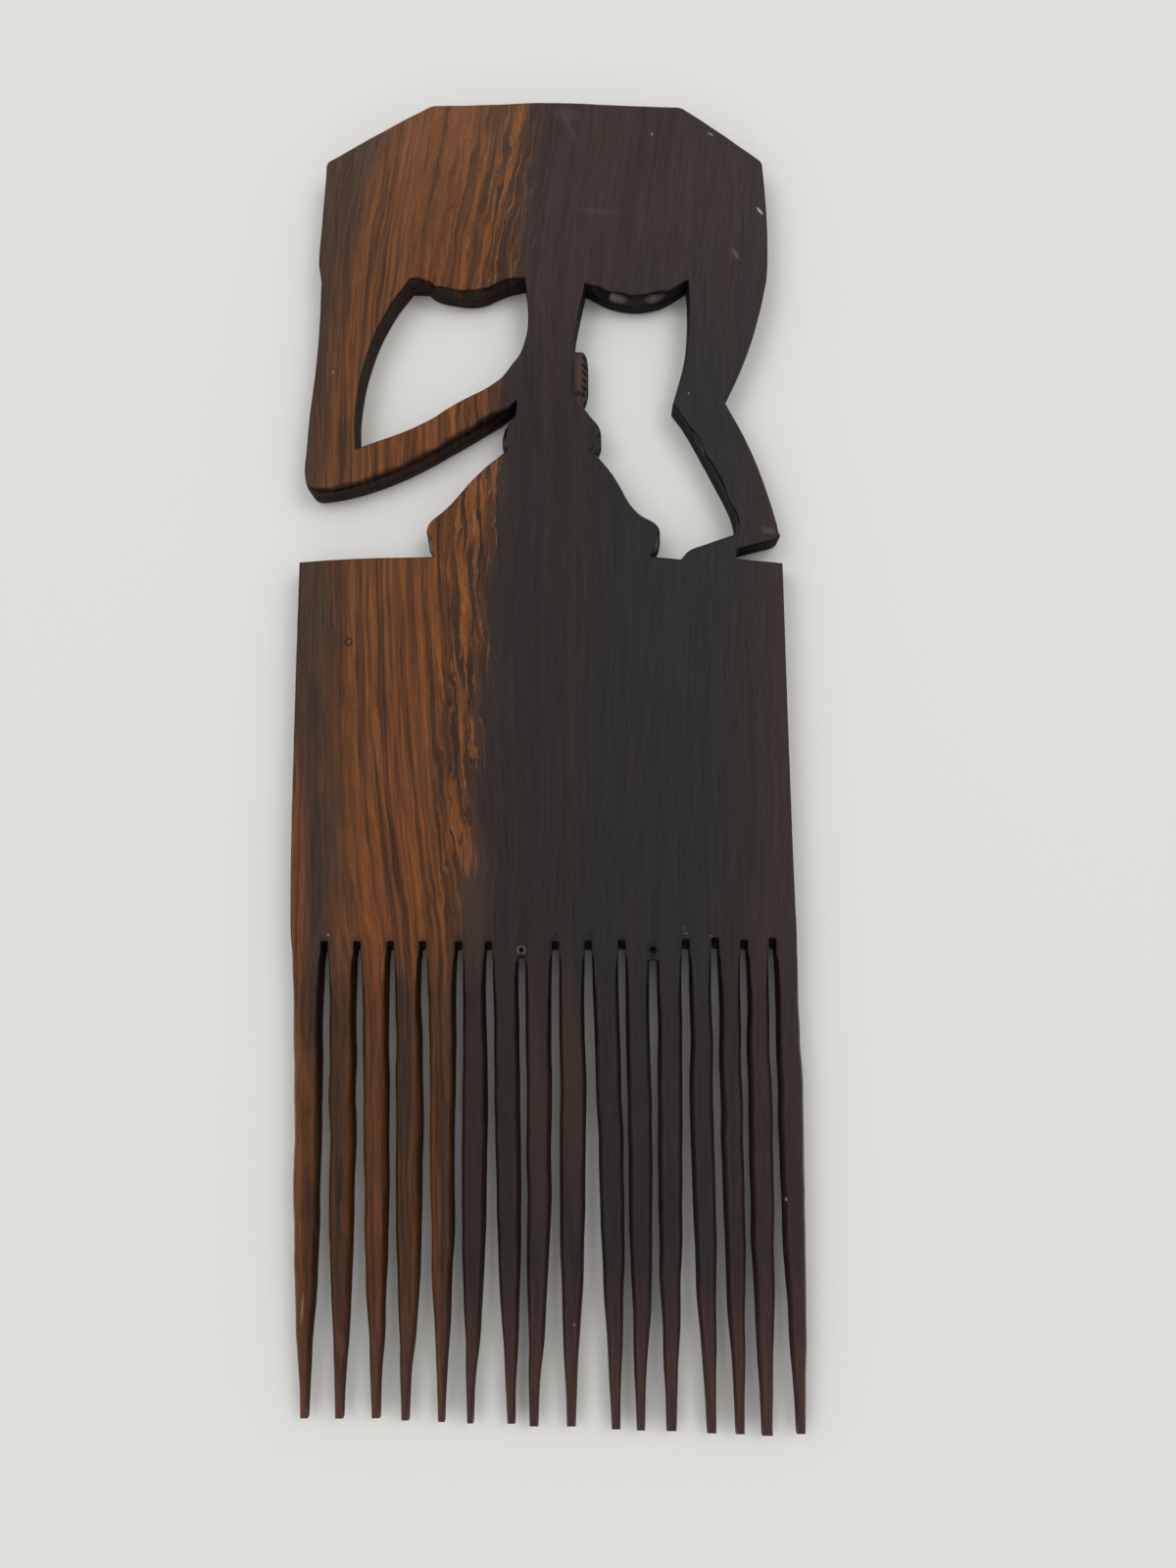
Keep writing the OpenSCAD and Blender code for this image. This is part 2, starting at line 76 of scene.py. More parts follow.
ankleIn, ankleOut = (0.381, 0.085, 0), (0.462, 0.085, 0)
toe, soleEnd = (0.270, 0.010, 0), (0.380, 0.011, 0)

figureRegions = {
    "crown_plate": [
        ("cut", [armTopOut, armTopIn]),
        ("carved", [armTopIn, (-0.249, 0.603, 0.1), (-0.231, 0.586, 0.4), (-0.146, 0.570, 0.5),
                    (-0.088, 0.600, 0.4), columnTopLeft]),
        ("cut", [columnTopLeft, columnTopRight]),
        ("carved", [columnTopRight, (0.091, 0.590, 0.2), (0.124, 0.570, 0.5), (0.181, 0.558, 0.5),
                    (0.239, 0.569, 0.5), thighTopIn]),
        ("cut", [thighTopIn, thighTopOut]),
        ("carved", [thighTopOut, (0.452, 0.640, 0.5), (0.452, 0.740, 0.5), (0.443, 0.863, 0.06),
                    (0.343, 0.940, 0.5), (0.276, 0.987, 0.1), (0.165, 0.991, 0.5), (0.010, 1.002, 0.5),
                    (-0.121, 0.996, 0.5), (-0.243, 0.995, 0.1), (-0.350, 0.935, 0.5), (-0.459, 0.869, 0.08),
                    (-0.465, 0.755, 0.5), (-0.472, 0.650, 0.3), armTopOut]),
    ],
    "left_upper_arm": [
        ("carved", [armTopOut, (-0.466, 0.527, 0.5), (-0.471, 0.428, 0.5), (-0.484, 0.308, 0.5), elbowOut]),
        ("cut", [elbowOut, elbowIn]),
        ("carved", [elbowIn, (-0.389, 0.328, 0.5), (-0.371, 0.437, 0.5), (-0.328, 0.542, 0.5), armTopIn]),
        ("cut", [armTopIn, armTopOut]),
    ],
    "left_forearm": [
        ("carved", [elbowOut, (-0.492, 0.196, 0.5), (-0.482, 0.149, 0.5), (-0.440, 0.150, 0.5), (-0.368, 0.167, 0.5),
                    (-0.269, 0.207, 0.5), (-0.139, 0.286, 0.5), (-0.085, 0.320, 0.5), forearmEndLow]),
        ("cut", [forearmEndLow, forearmEndTop]),
        ("carved", [forearmEndTop, (-0.101, 0.385, 0.5), (-0.189, 0.341, 0.5), (-0.249, 0.297, 0.5), elbowIn]),
        ("cut", [elbowIn, elbowOut]),
    ],
    "waist_column": [
        ("cut", [forearmEndLow, knuckleLowIn, knuckleTop]),
        ("carved", [knuckleTop, (0.056, 0.487, 0.5), (0.068, 0.547, 0.5), columnTopRight]),
        ("cut", [columnTopRight, columnTopLeft]),
        ("carved", [columnTopLeft, (-0.040, 0.557, 0.5), (-0.038, 0.502, 0.5), (-0.053, 0.447, 0.5), forearmEndTop]),
        ("cut", [forearmEndTop, forearmEndLow]),
    ],
    "knuckle_ribs": [
        ("cut", [knuckleTop, knuckleLowIn, knuckleLowOut]),
        ("carved", [knuckleLowOut, (0.084, 0.357, 0.5), (0.084, 0.388, 0.5), (0.084, 0.450, 0.5), knuckleTop]),
    ],
    "collar": [
        ("carved", [forearmEndLow, (-0.065, 0.310, 0.3), (-0.092, 0.283, 0.5), (-0.091, 0.249, 0.4), collarLowLeft]),
        ("cut", [collarLowLeft, collarLowRight]),
        ("carved", [collarLowRight, (0.111, 0.250, 0.5), (0.110, 0.288, 0.5), (0.088, 0.312, 0.5), knuckleLowOut]),
        ("cut", [knuckleLowOut, knuckleLowIn, forearmEndLow]),
    ],
    "bell_skirt": [
        ("carved", [collarLowLeft, (-0.141, 0.191, 0.5), (-0.197, 0.119, 0.5), (-0.242, 0.085, 0.4),
                    (-0.239, 0.036, 0.4), skirtFootLeft]),
        ("cut", [skirtFootLeft, (-0.045, 0.0165, 0), skirtFootRight]),
        ("carved", [skirtFootRight, (0.230, 0.040, 0.4), (0.228, 0.082, 0.4), (0.174, 0.109, 0.5),
                    (0.139, 0.184, 0.5), collarLowRight]),
        ("cut", [collarLowRight, collarLowLeft]),
    ],
    "right_thigh": [
        ("carved", [thighTopIn, (0.290, 0.537, 0.5), (0.283, 0.437, 0.5), kneeIn]),
        ("cut", [kneeIn, kneeOut]),
        ("carved", [kneeOut, (0.398, 0.425, 0.5), (0.431, 0.517, 0.5), thighTopOut]),
        ("cut", [thighTopOut, thighTopIn]),
    ],
    "right_shin": [
        ("carved", [kneeIn, (0.285, 0.294, 0.5), (0.338, 0.189, 0.5), (0.373, 0.119, 0.5), ankleIn]),
        ("cut", [ankleIn, ankleOut]),
        ("carved", [ankleOut, (0.439, 0.168, 0.5), (0.404, 0.260, 0.5), kneeOut]),
        ("cut", [kneeOut, kneeIn]),
    ],
    "foot": [
        ("carved", [ankleIn, (0.381, 0.063, 0), (0.328, 0.044, 0.5), (0.286, 0.030, 0.4), toe]),
        ("cut", [toe, soleEnd]),
        ("carved", [soleEnd, (0.382, 0.029, 0), (0.472, 0.052, 0.3), ankleOut]),
        ("cut", [ankleOut, ankleIn]),
    ],
}
slotPlaces = [-0.429, -0.365, -0.300, -0.237, -0.167, -0.109, -0.045, 0.021,
              0.085, 0.150, 0.211, 0.274, 0.331, 0.387, 0.442]
# each tooth: where its tip lies across, its length, its belly against its root, and in mm its tip's width,
# how far its middle bows to the right, and how much it swells there
teeth = [
    (-0.456, 0.971, 0.76, 1.25, 0.1, 0.4), (-0.389, 0.971, 0.92, 1.3, 0.15, 0.1), (-0.319, 0.970, 0.86, 1.35, 0.1, 0.2),
    (-0.263, 0.974, 0.92, 1.25, 0.4, 0.45), (-0.194, 0.976, 0.8, 1.1, 0.15, 0.15), (-0.139, 0.979, 1, 1.05, 0.3, 0.35),
    (-0.061, 0.979, 0.92, 1.3, 0, 0.2), (-0.018, 0.984, 0.92, 1.4, 0.35, 0), (0.053, 0.984, 0.98, 1.45, 0.15, 0.15),
    (0.138, 0.989, 0.98, 1.4, 0.2, -0.1), (0.185, 0.991, 0.95, 1.35, 0.3, 0.15), (0.243, 0.992, 0.92, 1.65, 0.05, 0.15),
    (0.319, 0.996, 0.98, 1.5, -0.25, 0.2), (0.373, 0.997, 0.92, 1.45, -0.1, 0.2), (0.424, 1.000, 1.02, 1.75, 0, 0.2),
    (0.488, 0.996, 1.00, 1.4, 0.1, 0.4),
]
toothForm = {"bellyAt": 0.32, "waver": 0.22, "waverTurns": 9, "waverStep": 7.3}
# down a tooth: how much of its belly and of its thickness is left
toothTaper = [(0, 1, 1), (0.10, 1, 0.99), (0.32, 1, 0.96), (0.57, 0.91, 0.86), (0.68, 0.75, 0.74),
              (0.79, 0.49, 0.55), (0.90, 0.19, 0.26), (0.97, 0.02, 0.05), (1, 0, 0)]
toothTip = {"thick": 2.6, "lift": 0.9, "stations": 46}


def mix(a, b, share):
    return a + (b - a) * share


def smooth(s):
    s = min(1, max(0, s))
    return s * s * (3 - 2 * s)


def inFigure(row):
    return (row[0] * comb["width"], comb["figureFoot"] + row[1] * comb["figureHeight"], row[2])


def inBlade(row):
    return (row[0] * comb["width"], comb["roots"] + row[1] * comb["bladeHeight"], row[2])


def softRun(rows):
    points = []
    for i, (x, y, soft) in enumerate(rows):
        here = Vector((x, y))
        if i in (0, len(rows) - 1) or soft == 0:
            points.append(here)
            continue
        start = here.lerp(Vector(rows[i - 1][:2]), soft)
        end = here.lerp(Vector(rows[i + 1][:2]), soft)
        for k in range(comb["cornerSteps"]):
            s = (k + 0.5) / comb["cornerSteps"]
            points.append(start.lerp(here, s).lerp(here.lerp(end, s), s))
    return points


def spaced(points, gap):
    out = []
    for a, b in zip(points, points[1:]):
        steps = max(1, math.ceil((b - a).length / gap))
        out += [a.lerp(b, k / steps) for k in range(steps)]
    return out + [points[-1]]


def carvedRun(rows):
    return spaced(softRun(rows), comb["spacing"])


board = bmesh.new()
spots = {}  # the board's corners by their place, so that regions share them


def spot(point):
    key = (round(point[0], 3), round(point[1], 3))
    if key not in spots:
        spots[key] = board.verts.new((point[0] * mm, point[1] * mm, 0))
    return spots[key]


regionNames = list(figureRegions) + ["blade"] + [f"tooth_{k:02d}" for k in range(1, len(teeth) + 1)]


def layRegion(name, points):
    face = board.faces.new([spot(p) for p in points])
    face.material_index = regionNames.index(name)
    return face


for name, runs in figureRegions.items():
    outline = []
    for kind, rows in runs:
        run = softRun([inFigure(row) for row in rows])
        if kind == "carved":
            gap = comb["knuckleSpacing" if name == "knuckle_ribs" else "spacing"]
            run = spaced(run, gap)
        outline += run[:-1]
    layRegion(name, outline)

# the blade, in three faces that meet on lines through the two pits
halfSlot = comb["slot"] / 2
slotX = [share * comb["width"] for share in slotPlaces]
bladeLeft = [inBlade(row) for row in [(-0.496, 1.008, 0), (-0.499, 0.66, 0.5), (-0.5, 0.2, 0.5), (-0.494, 0, 0)]]
bladeRight = [inBlade(row) for row in [(0.492, 0, 0), (0.486, 0.2, 0.5), (0.478, 0.65, 0.5), (0.473, 1.002, 0)]]
rootLeft, rootRight = Vector(bladeLeft[-1][:2]), Vector(bladeRight[0][:2])


def slotReach(k):
    return comb["pitted"].get(k, comb["slotFront"] + comb["sawnFurther"].get(k, 0))


def slotWall(k, side):
    x, corner = slotX[k - 1], comb["slotCorner"]
    wall = [(x + side * halfSlot, comb["roots"]), (x + side * halfSlot, comb["roots"] + slotReach(k) - corner)]
    wall = spaced([Vector(p) for p in wall], comb["slotSpacing"])
    end = comb["roots"] + slotReach(k)
    return wall + [Vector((x + side * (halfSlot - corner), end)), Vector((x, end))]


def pitRing(k, side):
    centre = Vector((slotX[k - 1], comb["roots"] + comb["pitRise"]))
    half = comb["pitWidth"] / 2
    turns = [math.pi * i / comb["pitSteps"] for i in range(comb["pitSteps"] + 1)]
    return [centre + Vector((side * half * math.sin(turn), -half * math.cos(turn))) for turn in turns]


skirtSplit = Vector(inFigure((-0.045, 0.0165, 0))[:2])
skirtRight, sole = Vector(inFigure(skirtFootRight)[:2]), Vector(inFigure(soleEnd)[:2])
leftSide, rightSide = carvedRun(bladeLeft), carvedRun(bladeRight)
crest = carvedRun([inFigure(skirtFootLeft), inFigure((-0.398, 0.014, 0.5)), bladeLeft[0]])
shelf = carvedRun([bladeRight[-1], inFigure(soleEnd)])
step = carvedRun([inFigure(toe), inFigure(skirtFootRight)])


def slotsBetween(first, last):
    run = []
    for k in range(first, last + 1):
        run += slotWall(k, -1)[:-1] + slotWall(k, 1)[::-1]
    return run


layRegion("blade", [rootLeft] + slotsBetween(1, 6) + slotWall(7, -1) + pitRing(7, -1) + [skirtSplit]
          + crest[:-1] + leftSide[:-1])
layRegion("blade", slotWall(7, 1)[::-1] + slotsBetween(8, 10) + slotWall(11, -1) + pitRing(11, -1)
          + [skirtRight, skirtSplit] + pitRing(7, 1)[::-1])
layRegion("blade", slotWall(11, 1)[::-1] + slotsBetween(12, 15) + rightSide[:-1] + shelf[:-1]
          + [sole] + step[:-1] + [skirtRight] + pitRing(11, 1)[::-1])
for k in comb["pitted"]:
    disc = layRegion("blade", pitRing(k, 1)[:-1] + pitRing(k, -1)[:0:-1])
    disc.material_index = pitMark + k


# the teeth, as short bands between two stations
def blendRow(table, along):
    for low, high in zip(table, table[1:]):
        if along <= high[0]:
            s = (along - low[0]) / (high[0] - low[0])
            return [mix(a, b, s) for a, b in zip(low, high)]
    return list(table[-1])


def taperAt(along):  # the table, smoothed a little so that no station shows as a kink
    rows = [blendRow(toothTaper, min(1, max(0, along + d))) for d in (-0.05, -0.025, 0, 0.025, 0.05)]
    return sum(r[1] for r in rows) / 5, sum(r[2] for r in rows) / 5


def toothSides(number, along):
    tipShare, length, bellyShare, tipWidth, bow, swell = teeth[number - 1]
    left = rootLeft.x if number == 1 else slotX[number - 2] + halfSlot
    right = rootRight.x if number == len(teeth) else slotX[number - 1] - halfSlot
    width = right - left
    belly = width * mix(1, bellyShare, min(1, along / toothForm["bellyAt"]))
    wide = mix(tipWidth, belly, taperAt(along)[0] if along else 1)
    midway = smooth((along - 0.05) / 0.3) * smooth((0.95 - along) / 0.25)  # none at the root and at the tip
    waver = noise.noise(Vector((number * toothForm["waverStep"], along * toothForm["waverTurns"], 0)))
    wander = waver * toothForm["waver"] * min(1, along * 6, (1 - along) * 6)
    centre = mix((left + right) / 2, tipShare * comb["width"], along) + wander + bow * midway
    half = (wide + swell * midway) / 2
    y = comb["roots"] - along * length * comb["toothLength"]
    return Vector((centre - half, y)), Vector((min(centre + half, comb["rightmost"]), y))


for number in range(1, len(teeth) + 1):
    stations = [toothSides(number, k / toothTip["stations"]) for k in range(toothTip["stations"] + 1)]
    for (leftHigh, rightHigh), (leftLow, rightLow) in zip(stations, stations[1:]):
        layRegion(f"tooth_{number:02d}", [leftHigh, leftLow, rightLow, rightHigh])
print("laid out", len(board.faces), "faces and", len(board.verts), "corners")

# how wide and how deep the rounding of each region's edges is, in mm
edgeRounding = {
    "crown_plate": (0.6, 0.7), "left_upper_arm": (0.55, 0.7), "left_forearm": (0.5, 0.7), "waist_column": (0.35, 0.5),
    "knuckle_ribs": (1.3, 2.2), "collar": (0.4, 0.6), "bell_skirt": (0.35, 0.5), "right_thigh": (0.5, 0.7),
    "right_shin": (0.45, 0.6), "foot": (0.4, 0.5), "blade": (0.38, 0.5),
}
toothRounding = {"wide": 1.35, "deep": 2.0, "rootWide": 0.7, "rootDeep": 1.7, "growsOver": 7, "widestShare": 0.42}
knuckleRounding = {"crispWide": 0.35, "crispDeep": 0.6, "foot": 56.2, "footSoft": 1.8, "top": 66.3, "topSoft": 2.4}
slotRounding = {"wide": 0.14, "deep": 0.3, "evenFor": 1.6, "sideGrowsOver": 6}
# the short walls between a pit and its slot: how near the slot's middle, from and to what rise, and their rounding
pitGate = {"near": 0.9, "from": 0.3, "to": 1, "wide": 0.35, "deep": 0.6}
unevenness = {"wide": 0.25, "deep": 0.3, "chips": 0.13}
# knife cuts: place, reach, how wide and deep the cut goes at its middle in mm, and how flat it is
cuts = [
    (-22.4, 78.3, 1.3, 0.9, 3.0, 1), (-20.6, 77.2, 1.4, 0.9, 3.0, 1),
    (-7.0, 50.6, 2.4, 0.8, 2.2, 1), (8.5, 49.9, 2.2, 1.0, 3.0, 1),
    (17.9, 32.8, 2.6, 1.1, 3.2, 1), (-19.4, 32.6, 2.4, 1.0, 2.6, 1),
    (-38.4, 41.8, 3.0, 1.3, 2.4, 0.2), (24.6, 49.6, 3.4, 0.8, 2.4, 1),
    (38.0, 34.4, 1.6, 0.9, 1.6, 1), (5.8, 55.6, 1.0, 0.7, 1.6, 0.5),
    (-33.5, 41.8, 5.0, 1.5, 2.4, 0), (-27.5, 44.0, 5.0, 1.6, 2.6, 0), (-21.5, 47.3, 5.0, 1.6, 2.8, 0),
    (-15.5, 50.8, 5.0, 1.7, 3.0, 0), (-10.0, 53.8, 4.5, 1.6, 3.0, 0.3),
    (-17.0, 76.4, 3.4, 0.9, 2.6, 0.9), (-12.4, 75.9, 3.6, 1.0, 2.8, 1), (-7.6, 78.0, 3.4, 0.8, 2.6, 0.9),
    (9.4, 76.4, 2.4, 0.9, 2.6, 1), (12.6, 75.0, 3.0, 1.2, 2.6, 1), (15.6, 74.4, 2.0, 1.1, 2.8, 1),
    (18.4, 75.2, 3.0, 1.2, 2.6, 1),
    (28.5, 44.2, 5.0, 0.9, 2.2, 0.3), (31.5, 36.5, 3.0, 0.8, 2.0, 0.3),
]


def roundingAt(x, y, names):
    wide = deep = 0
    for name in names:
        if name.startswith("tooth"):
            down = smooth((comb["roots"] - y) / toothRounding["growsOver"])
            w = mix(toothRounding["rootWide"], toothRounding["wide"], down)
            d = mix(toothRounding["rootDeep"], toothRounding["deep"], down)
        else:
            w, d = edgeRounding[name]
            if name == "knuckle_ribs":  # half round along its middle, crisp at its ends
                share = smooth((knuckleRounding["top"] - y) / knuckleRounding["topSoft"])
                share *= smooth((y - knuckleRounding["foot"]) / knuckleRounding["footSoft"])
                w, d = mix(knuckleRounding["crispWide"], w, share), mix(knuckleRounding["crispDeep"], d, share)
            if name == "blade" and y < comb["roots"] + slotRounding["sideGrowsOver"]:  # it grows towards the teeth
                rise = slotRounding["sideGrowsOver"]
                if abs(x) < comb["slotField"]:
                    rise = comb["slotFront"] - slotRounding["evenFor"]
                    w, d = slotRounding["wide"], slotRounding["deep"]
                down = smooth(1 - (y - comb["roots"]) / rise)
                w, d = mix(w, toothRounding["rootWide"], down), mix(d, toothRounding["rootDeep"], down)
        wide, deep = wide + w / len(names), deep + d / len(names)
    wide *= 1 + unevenness["wide"] * noise.noise(Vector((x * 0.35, y * 0.35, 3)))
    deep *= 1 + unevenness["deep"] * noise.noise(Vector((x * 0.3, y * 0.3, 9)))
    plain, flat = (wide, deep), 0
    for cutX, cutY, reach, cutWide, cutDeep, flatness in cuts:
        near = smooth(1.35 * (1 - math.hypot(x - cutX, y - cutY) / reach))
        if near > 0:
            wide, deep, flat = mix(wide, cutWide, near), mix(deep, cutDeep, near), max(flat, near * flatness)
    return wide, deep, flat, plain


# what each corner on an edge needs to know before the board gets its thickness
rims = []
rimOf = {}
for vert in board.verts:
    openEdges = [e for e in vert.link_edges if len(e.link_faces) == 1]
    if len(openEdges) != 2:
        continue
    inward = []
    for edge in openEdges:
        loop = next(l for l in edge.link_faces[0].loops if l.edge == edge)
        side = loop.link_loop_next.vert.co - loop.vert.co
        inward.append(Vector((-side.y, side.x)).normalized())
    mitre = (inward[0] + inward[1]) / max(0.2, 1 + inward[0].dot(inward[1]))
    if mitre.length > 1.5:
        mitre = mitre.normalized() * 1.5
    x, y = vert.co.x / mm, vert.co.y / mm
    names = sorted({regionNames[f.material_index] for f in vert.link_faces if f.material_index < pitMark})
    wide, deep, flat, plain = roundingAt(x, y, names)
    rimOf[vert] = len(rims)
    number, along, flare = 0, 0, 0
    if y < comb["roots"] - 0.01:
        number = int(names[0][-2:])
        along = min(1, (comb["roots"] - y) / (teeth[number - 1][1] * comb["toothLength"]))
        leftEdge, rightEdge = toothSides(number, along)
        wide = min(wide, toothRounding["widestShare"] * (rightEdge.x - leftEdge.x))
        plain = (wide, plain[1])
    rise, inField = y - comb["roots"], abs(x) < comb["slotField"]
    if any(abs(x - slotX[k - 1]) < pitGate["near"] for k in comb["pitted"]) and pitGate["from"] < rise < pitGate["to"]:
        wide, deep = min(wide, pitGate["wide"]), min(deep, pitGate["deep"])
    inSlot = inField and -0.01 < rise < comb["slotTop"]
    if inSlot or (number and inField):
        flare = comb["flare"] * (1 - comb["flareLost"] * smooth(along / comb["flareOver"]))
    rims.append({"x": x, "y": y, "mitre": mitre, "wide": wide, "deep": deep, "flat": flat, "plain": plain,
                 "inSlot": inSlot, "ribbed": names == ["knuckle_ribs"] and x > comb["knuckleFace"], "flare": flare,
                 "tooth": number, "full": taperAt(along)[1] if number else 1})


def carve(rim, inset, height):
    x, y = rim["x"] + rim["mitre"].x * inset, rim["y"] + rim["mitre"].y * inset
    if rim["inSlot"]:  # the saw went further on the front face
        backShare = comb["slotBack"] / comb["slotFront"]
        y = comb["roots"] + (y - comb["roots"]) * (1 - (1 - backShare) * (1 - height / comb["thick"]))
    if rim["tooth"]:  # the teeth get thinner towards their tips
        full = rim["full"]
        thick = mix(toothTip["thick"], comb["thick"], full)
        height = toothTip["lift"] * (1 - full) + height / comb["thick"] * thick
    return Vector((x, y, height)) * mm


middle = comb["thick"] / 2
rowCount = 2 + comb["arcSteps"]


def profileRow(rim, row, upper):
    wide, deep, flat = rim["wide"], rim["deep"], rim["flat"] if upper else 0
    if not upper:
        wide, deep = rim["plain"]
    wallTop = comb["thick"] - deep
    chipAt = Vector((rim["x"] * 0.45, rim["y"] * 0.45, row * 2.1 + (0 if upper else 20)))
    chip = unevenness["chips"] * max(0, noise.noise(chipAt))
    if row == 1:
        inset, height = chip, middle + (wallTop - middle) * 0.5
    elif row == 2:
        inset, height = 0, wallTop
    else:
        turn = (row - 2) / comb["arcSteps"]
        arc = math.pi / 2 * turn
        inset = wide * ((1 - math.cos(arc)) * (1 - flat) + turn * flat)
        height = wallTop + deep * (math.sin(arc) * (1 - flat) + turn * flat)
    if not upper:
        height = comb["thick"] - height
    inset += rim["flare"] * (1 - height / comb["thick"])
    if rim["ribbed"] and row < rowCount:  # slanted grooves over the knuckles
        shift = comb["knuckleSlant"] * (row - 2) * (1 if upper else 0)
        groove = max(smooth(1 - abs(rim["y"] - shift - ribY) / comb["knuckleReach"]) for ribY in comb["knuckles"])
        inset += comb["knuckleGroove"] * groove * min(1, (rowCount - row) / 2) * smooth((wide - 0.4) / 0.8)
    return inset, height


def growRows(faces, carried, upper):
    for row in range(1, rowCount + 1):
        made = bmesh.ops.extrude_face_region(board, geom=faces)["geom"]
        madeVerts = {g for g in made if isinstance(g, bmesh.types.BMVert)}
        covered, faces = faces, [g for g in made if isinstance(g, bmesh.types.BMFace)]
        onward = {}
        for vert, index in carried.items():
            for edge in vert.link_edges:
                if edge.other_vert(vert) in madeVerts:
                    onward[edge.other_vert(vert)] = index
                    break
        for vert in madeVerts:
            if vert in onward:
                vert.co = carve(rims[onward[vert]], *profileRow(rims[onward[vert]], row, upper))
            else:
                vert.co.z = (comb["thick"] if upper else 0) * mm
        bmesh.ops.delete(board, geom=covered, context="FACES")
        carried = onward
    return faces


for vert, index in rimOf.items():
    vert.co = carve(rims[index], rims[index]["flare"] / 2, middle)
for vert in board.verts:
    if vert not in rimOf:
        vert.co.z = middle * mm
flatFaces = list(board.faces)
made = bmesh.ops.extrude_face_region(board, geom=flatFaces)["geom"]
madeVerts = {g for g in made if isinstance(g, bmesh.types.BMVert)}
topStart = {}
for vert, index in rimOf.items():
    for edge in vert.link_edges:
        if edge.other_vert(vert) in madeVerts:
            topStart[edge.other_vert(vert)] = index
topFaces = growRows([g for g in made if isinstance(g, bmesh.types.BMFace)], topStart, True)
growRows(flatFaces, rimOf, False)

# the two round pits
edgeWide, edgeDeep = comb["pitEdge"]
for face in [f for f in topFaces if f.material_index >= pitMark]:
    lip = comb["pitLip"][face.material_index - pitMark]
    face.material_index = regionNames.index("blade")
    bmesh.ops.inset_region(board, faces=[face], thickness=edgeWide * mm, depth=-edgeDeep * mm)
    bmesh.ops.inset_region(board, faces=[face], thickness=lip * mm, depth=0)
    sunk = bmesh.ops.extrude_face_region(board, geom=[face])["geom"]
    floorVerts = [g for g in sunk if isinstance(g, bmesh.types.BMVert)]
    bmesh.ops.translate(board, vec=(0, 0, -comb["pitDepth"] * mm), verts=floorVerts)
    bmesh.ops.delete(board, geom=[face], context="FACES_ONLY")
for face in board.faces:
    if face.material_index >= pitMark:
        face.material_index = regionNames.index("blade")
bmesh.ops.recalc_face_normals(board, faces=board.faces[:])

# the extrusions leave faces and edges in a different order each run, so they are put in order by their corners
board.verts.index_update()
cornerCount = len(board.verts)


def rankOf(element):
    lowest, second, *others = sorted(v.index for v in element.verts)
    return (lowest * cornerCount + second) * cornerCount + (others[0] if others else 0)


board.faces.sort(key=rankOf)
board.edges.sort(key=rankOf)
print("board has", len(board.faces), "faces; open edges", sum(len(e.link_faces) != 2 for e in board.edges))

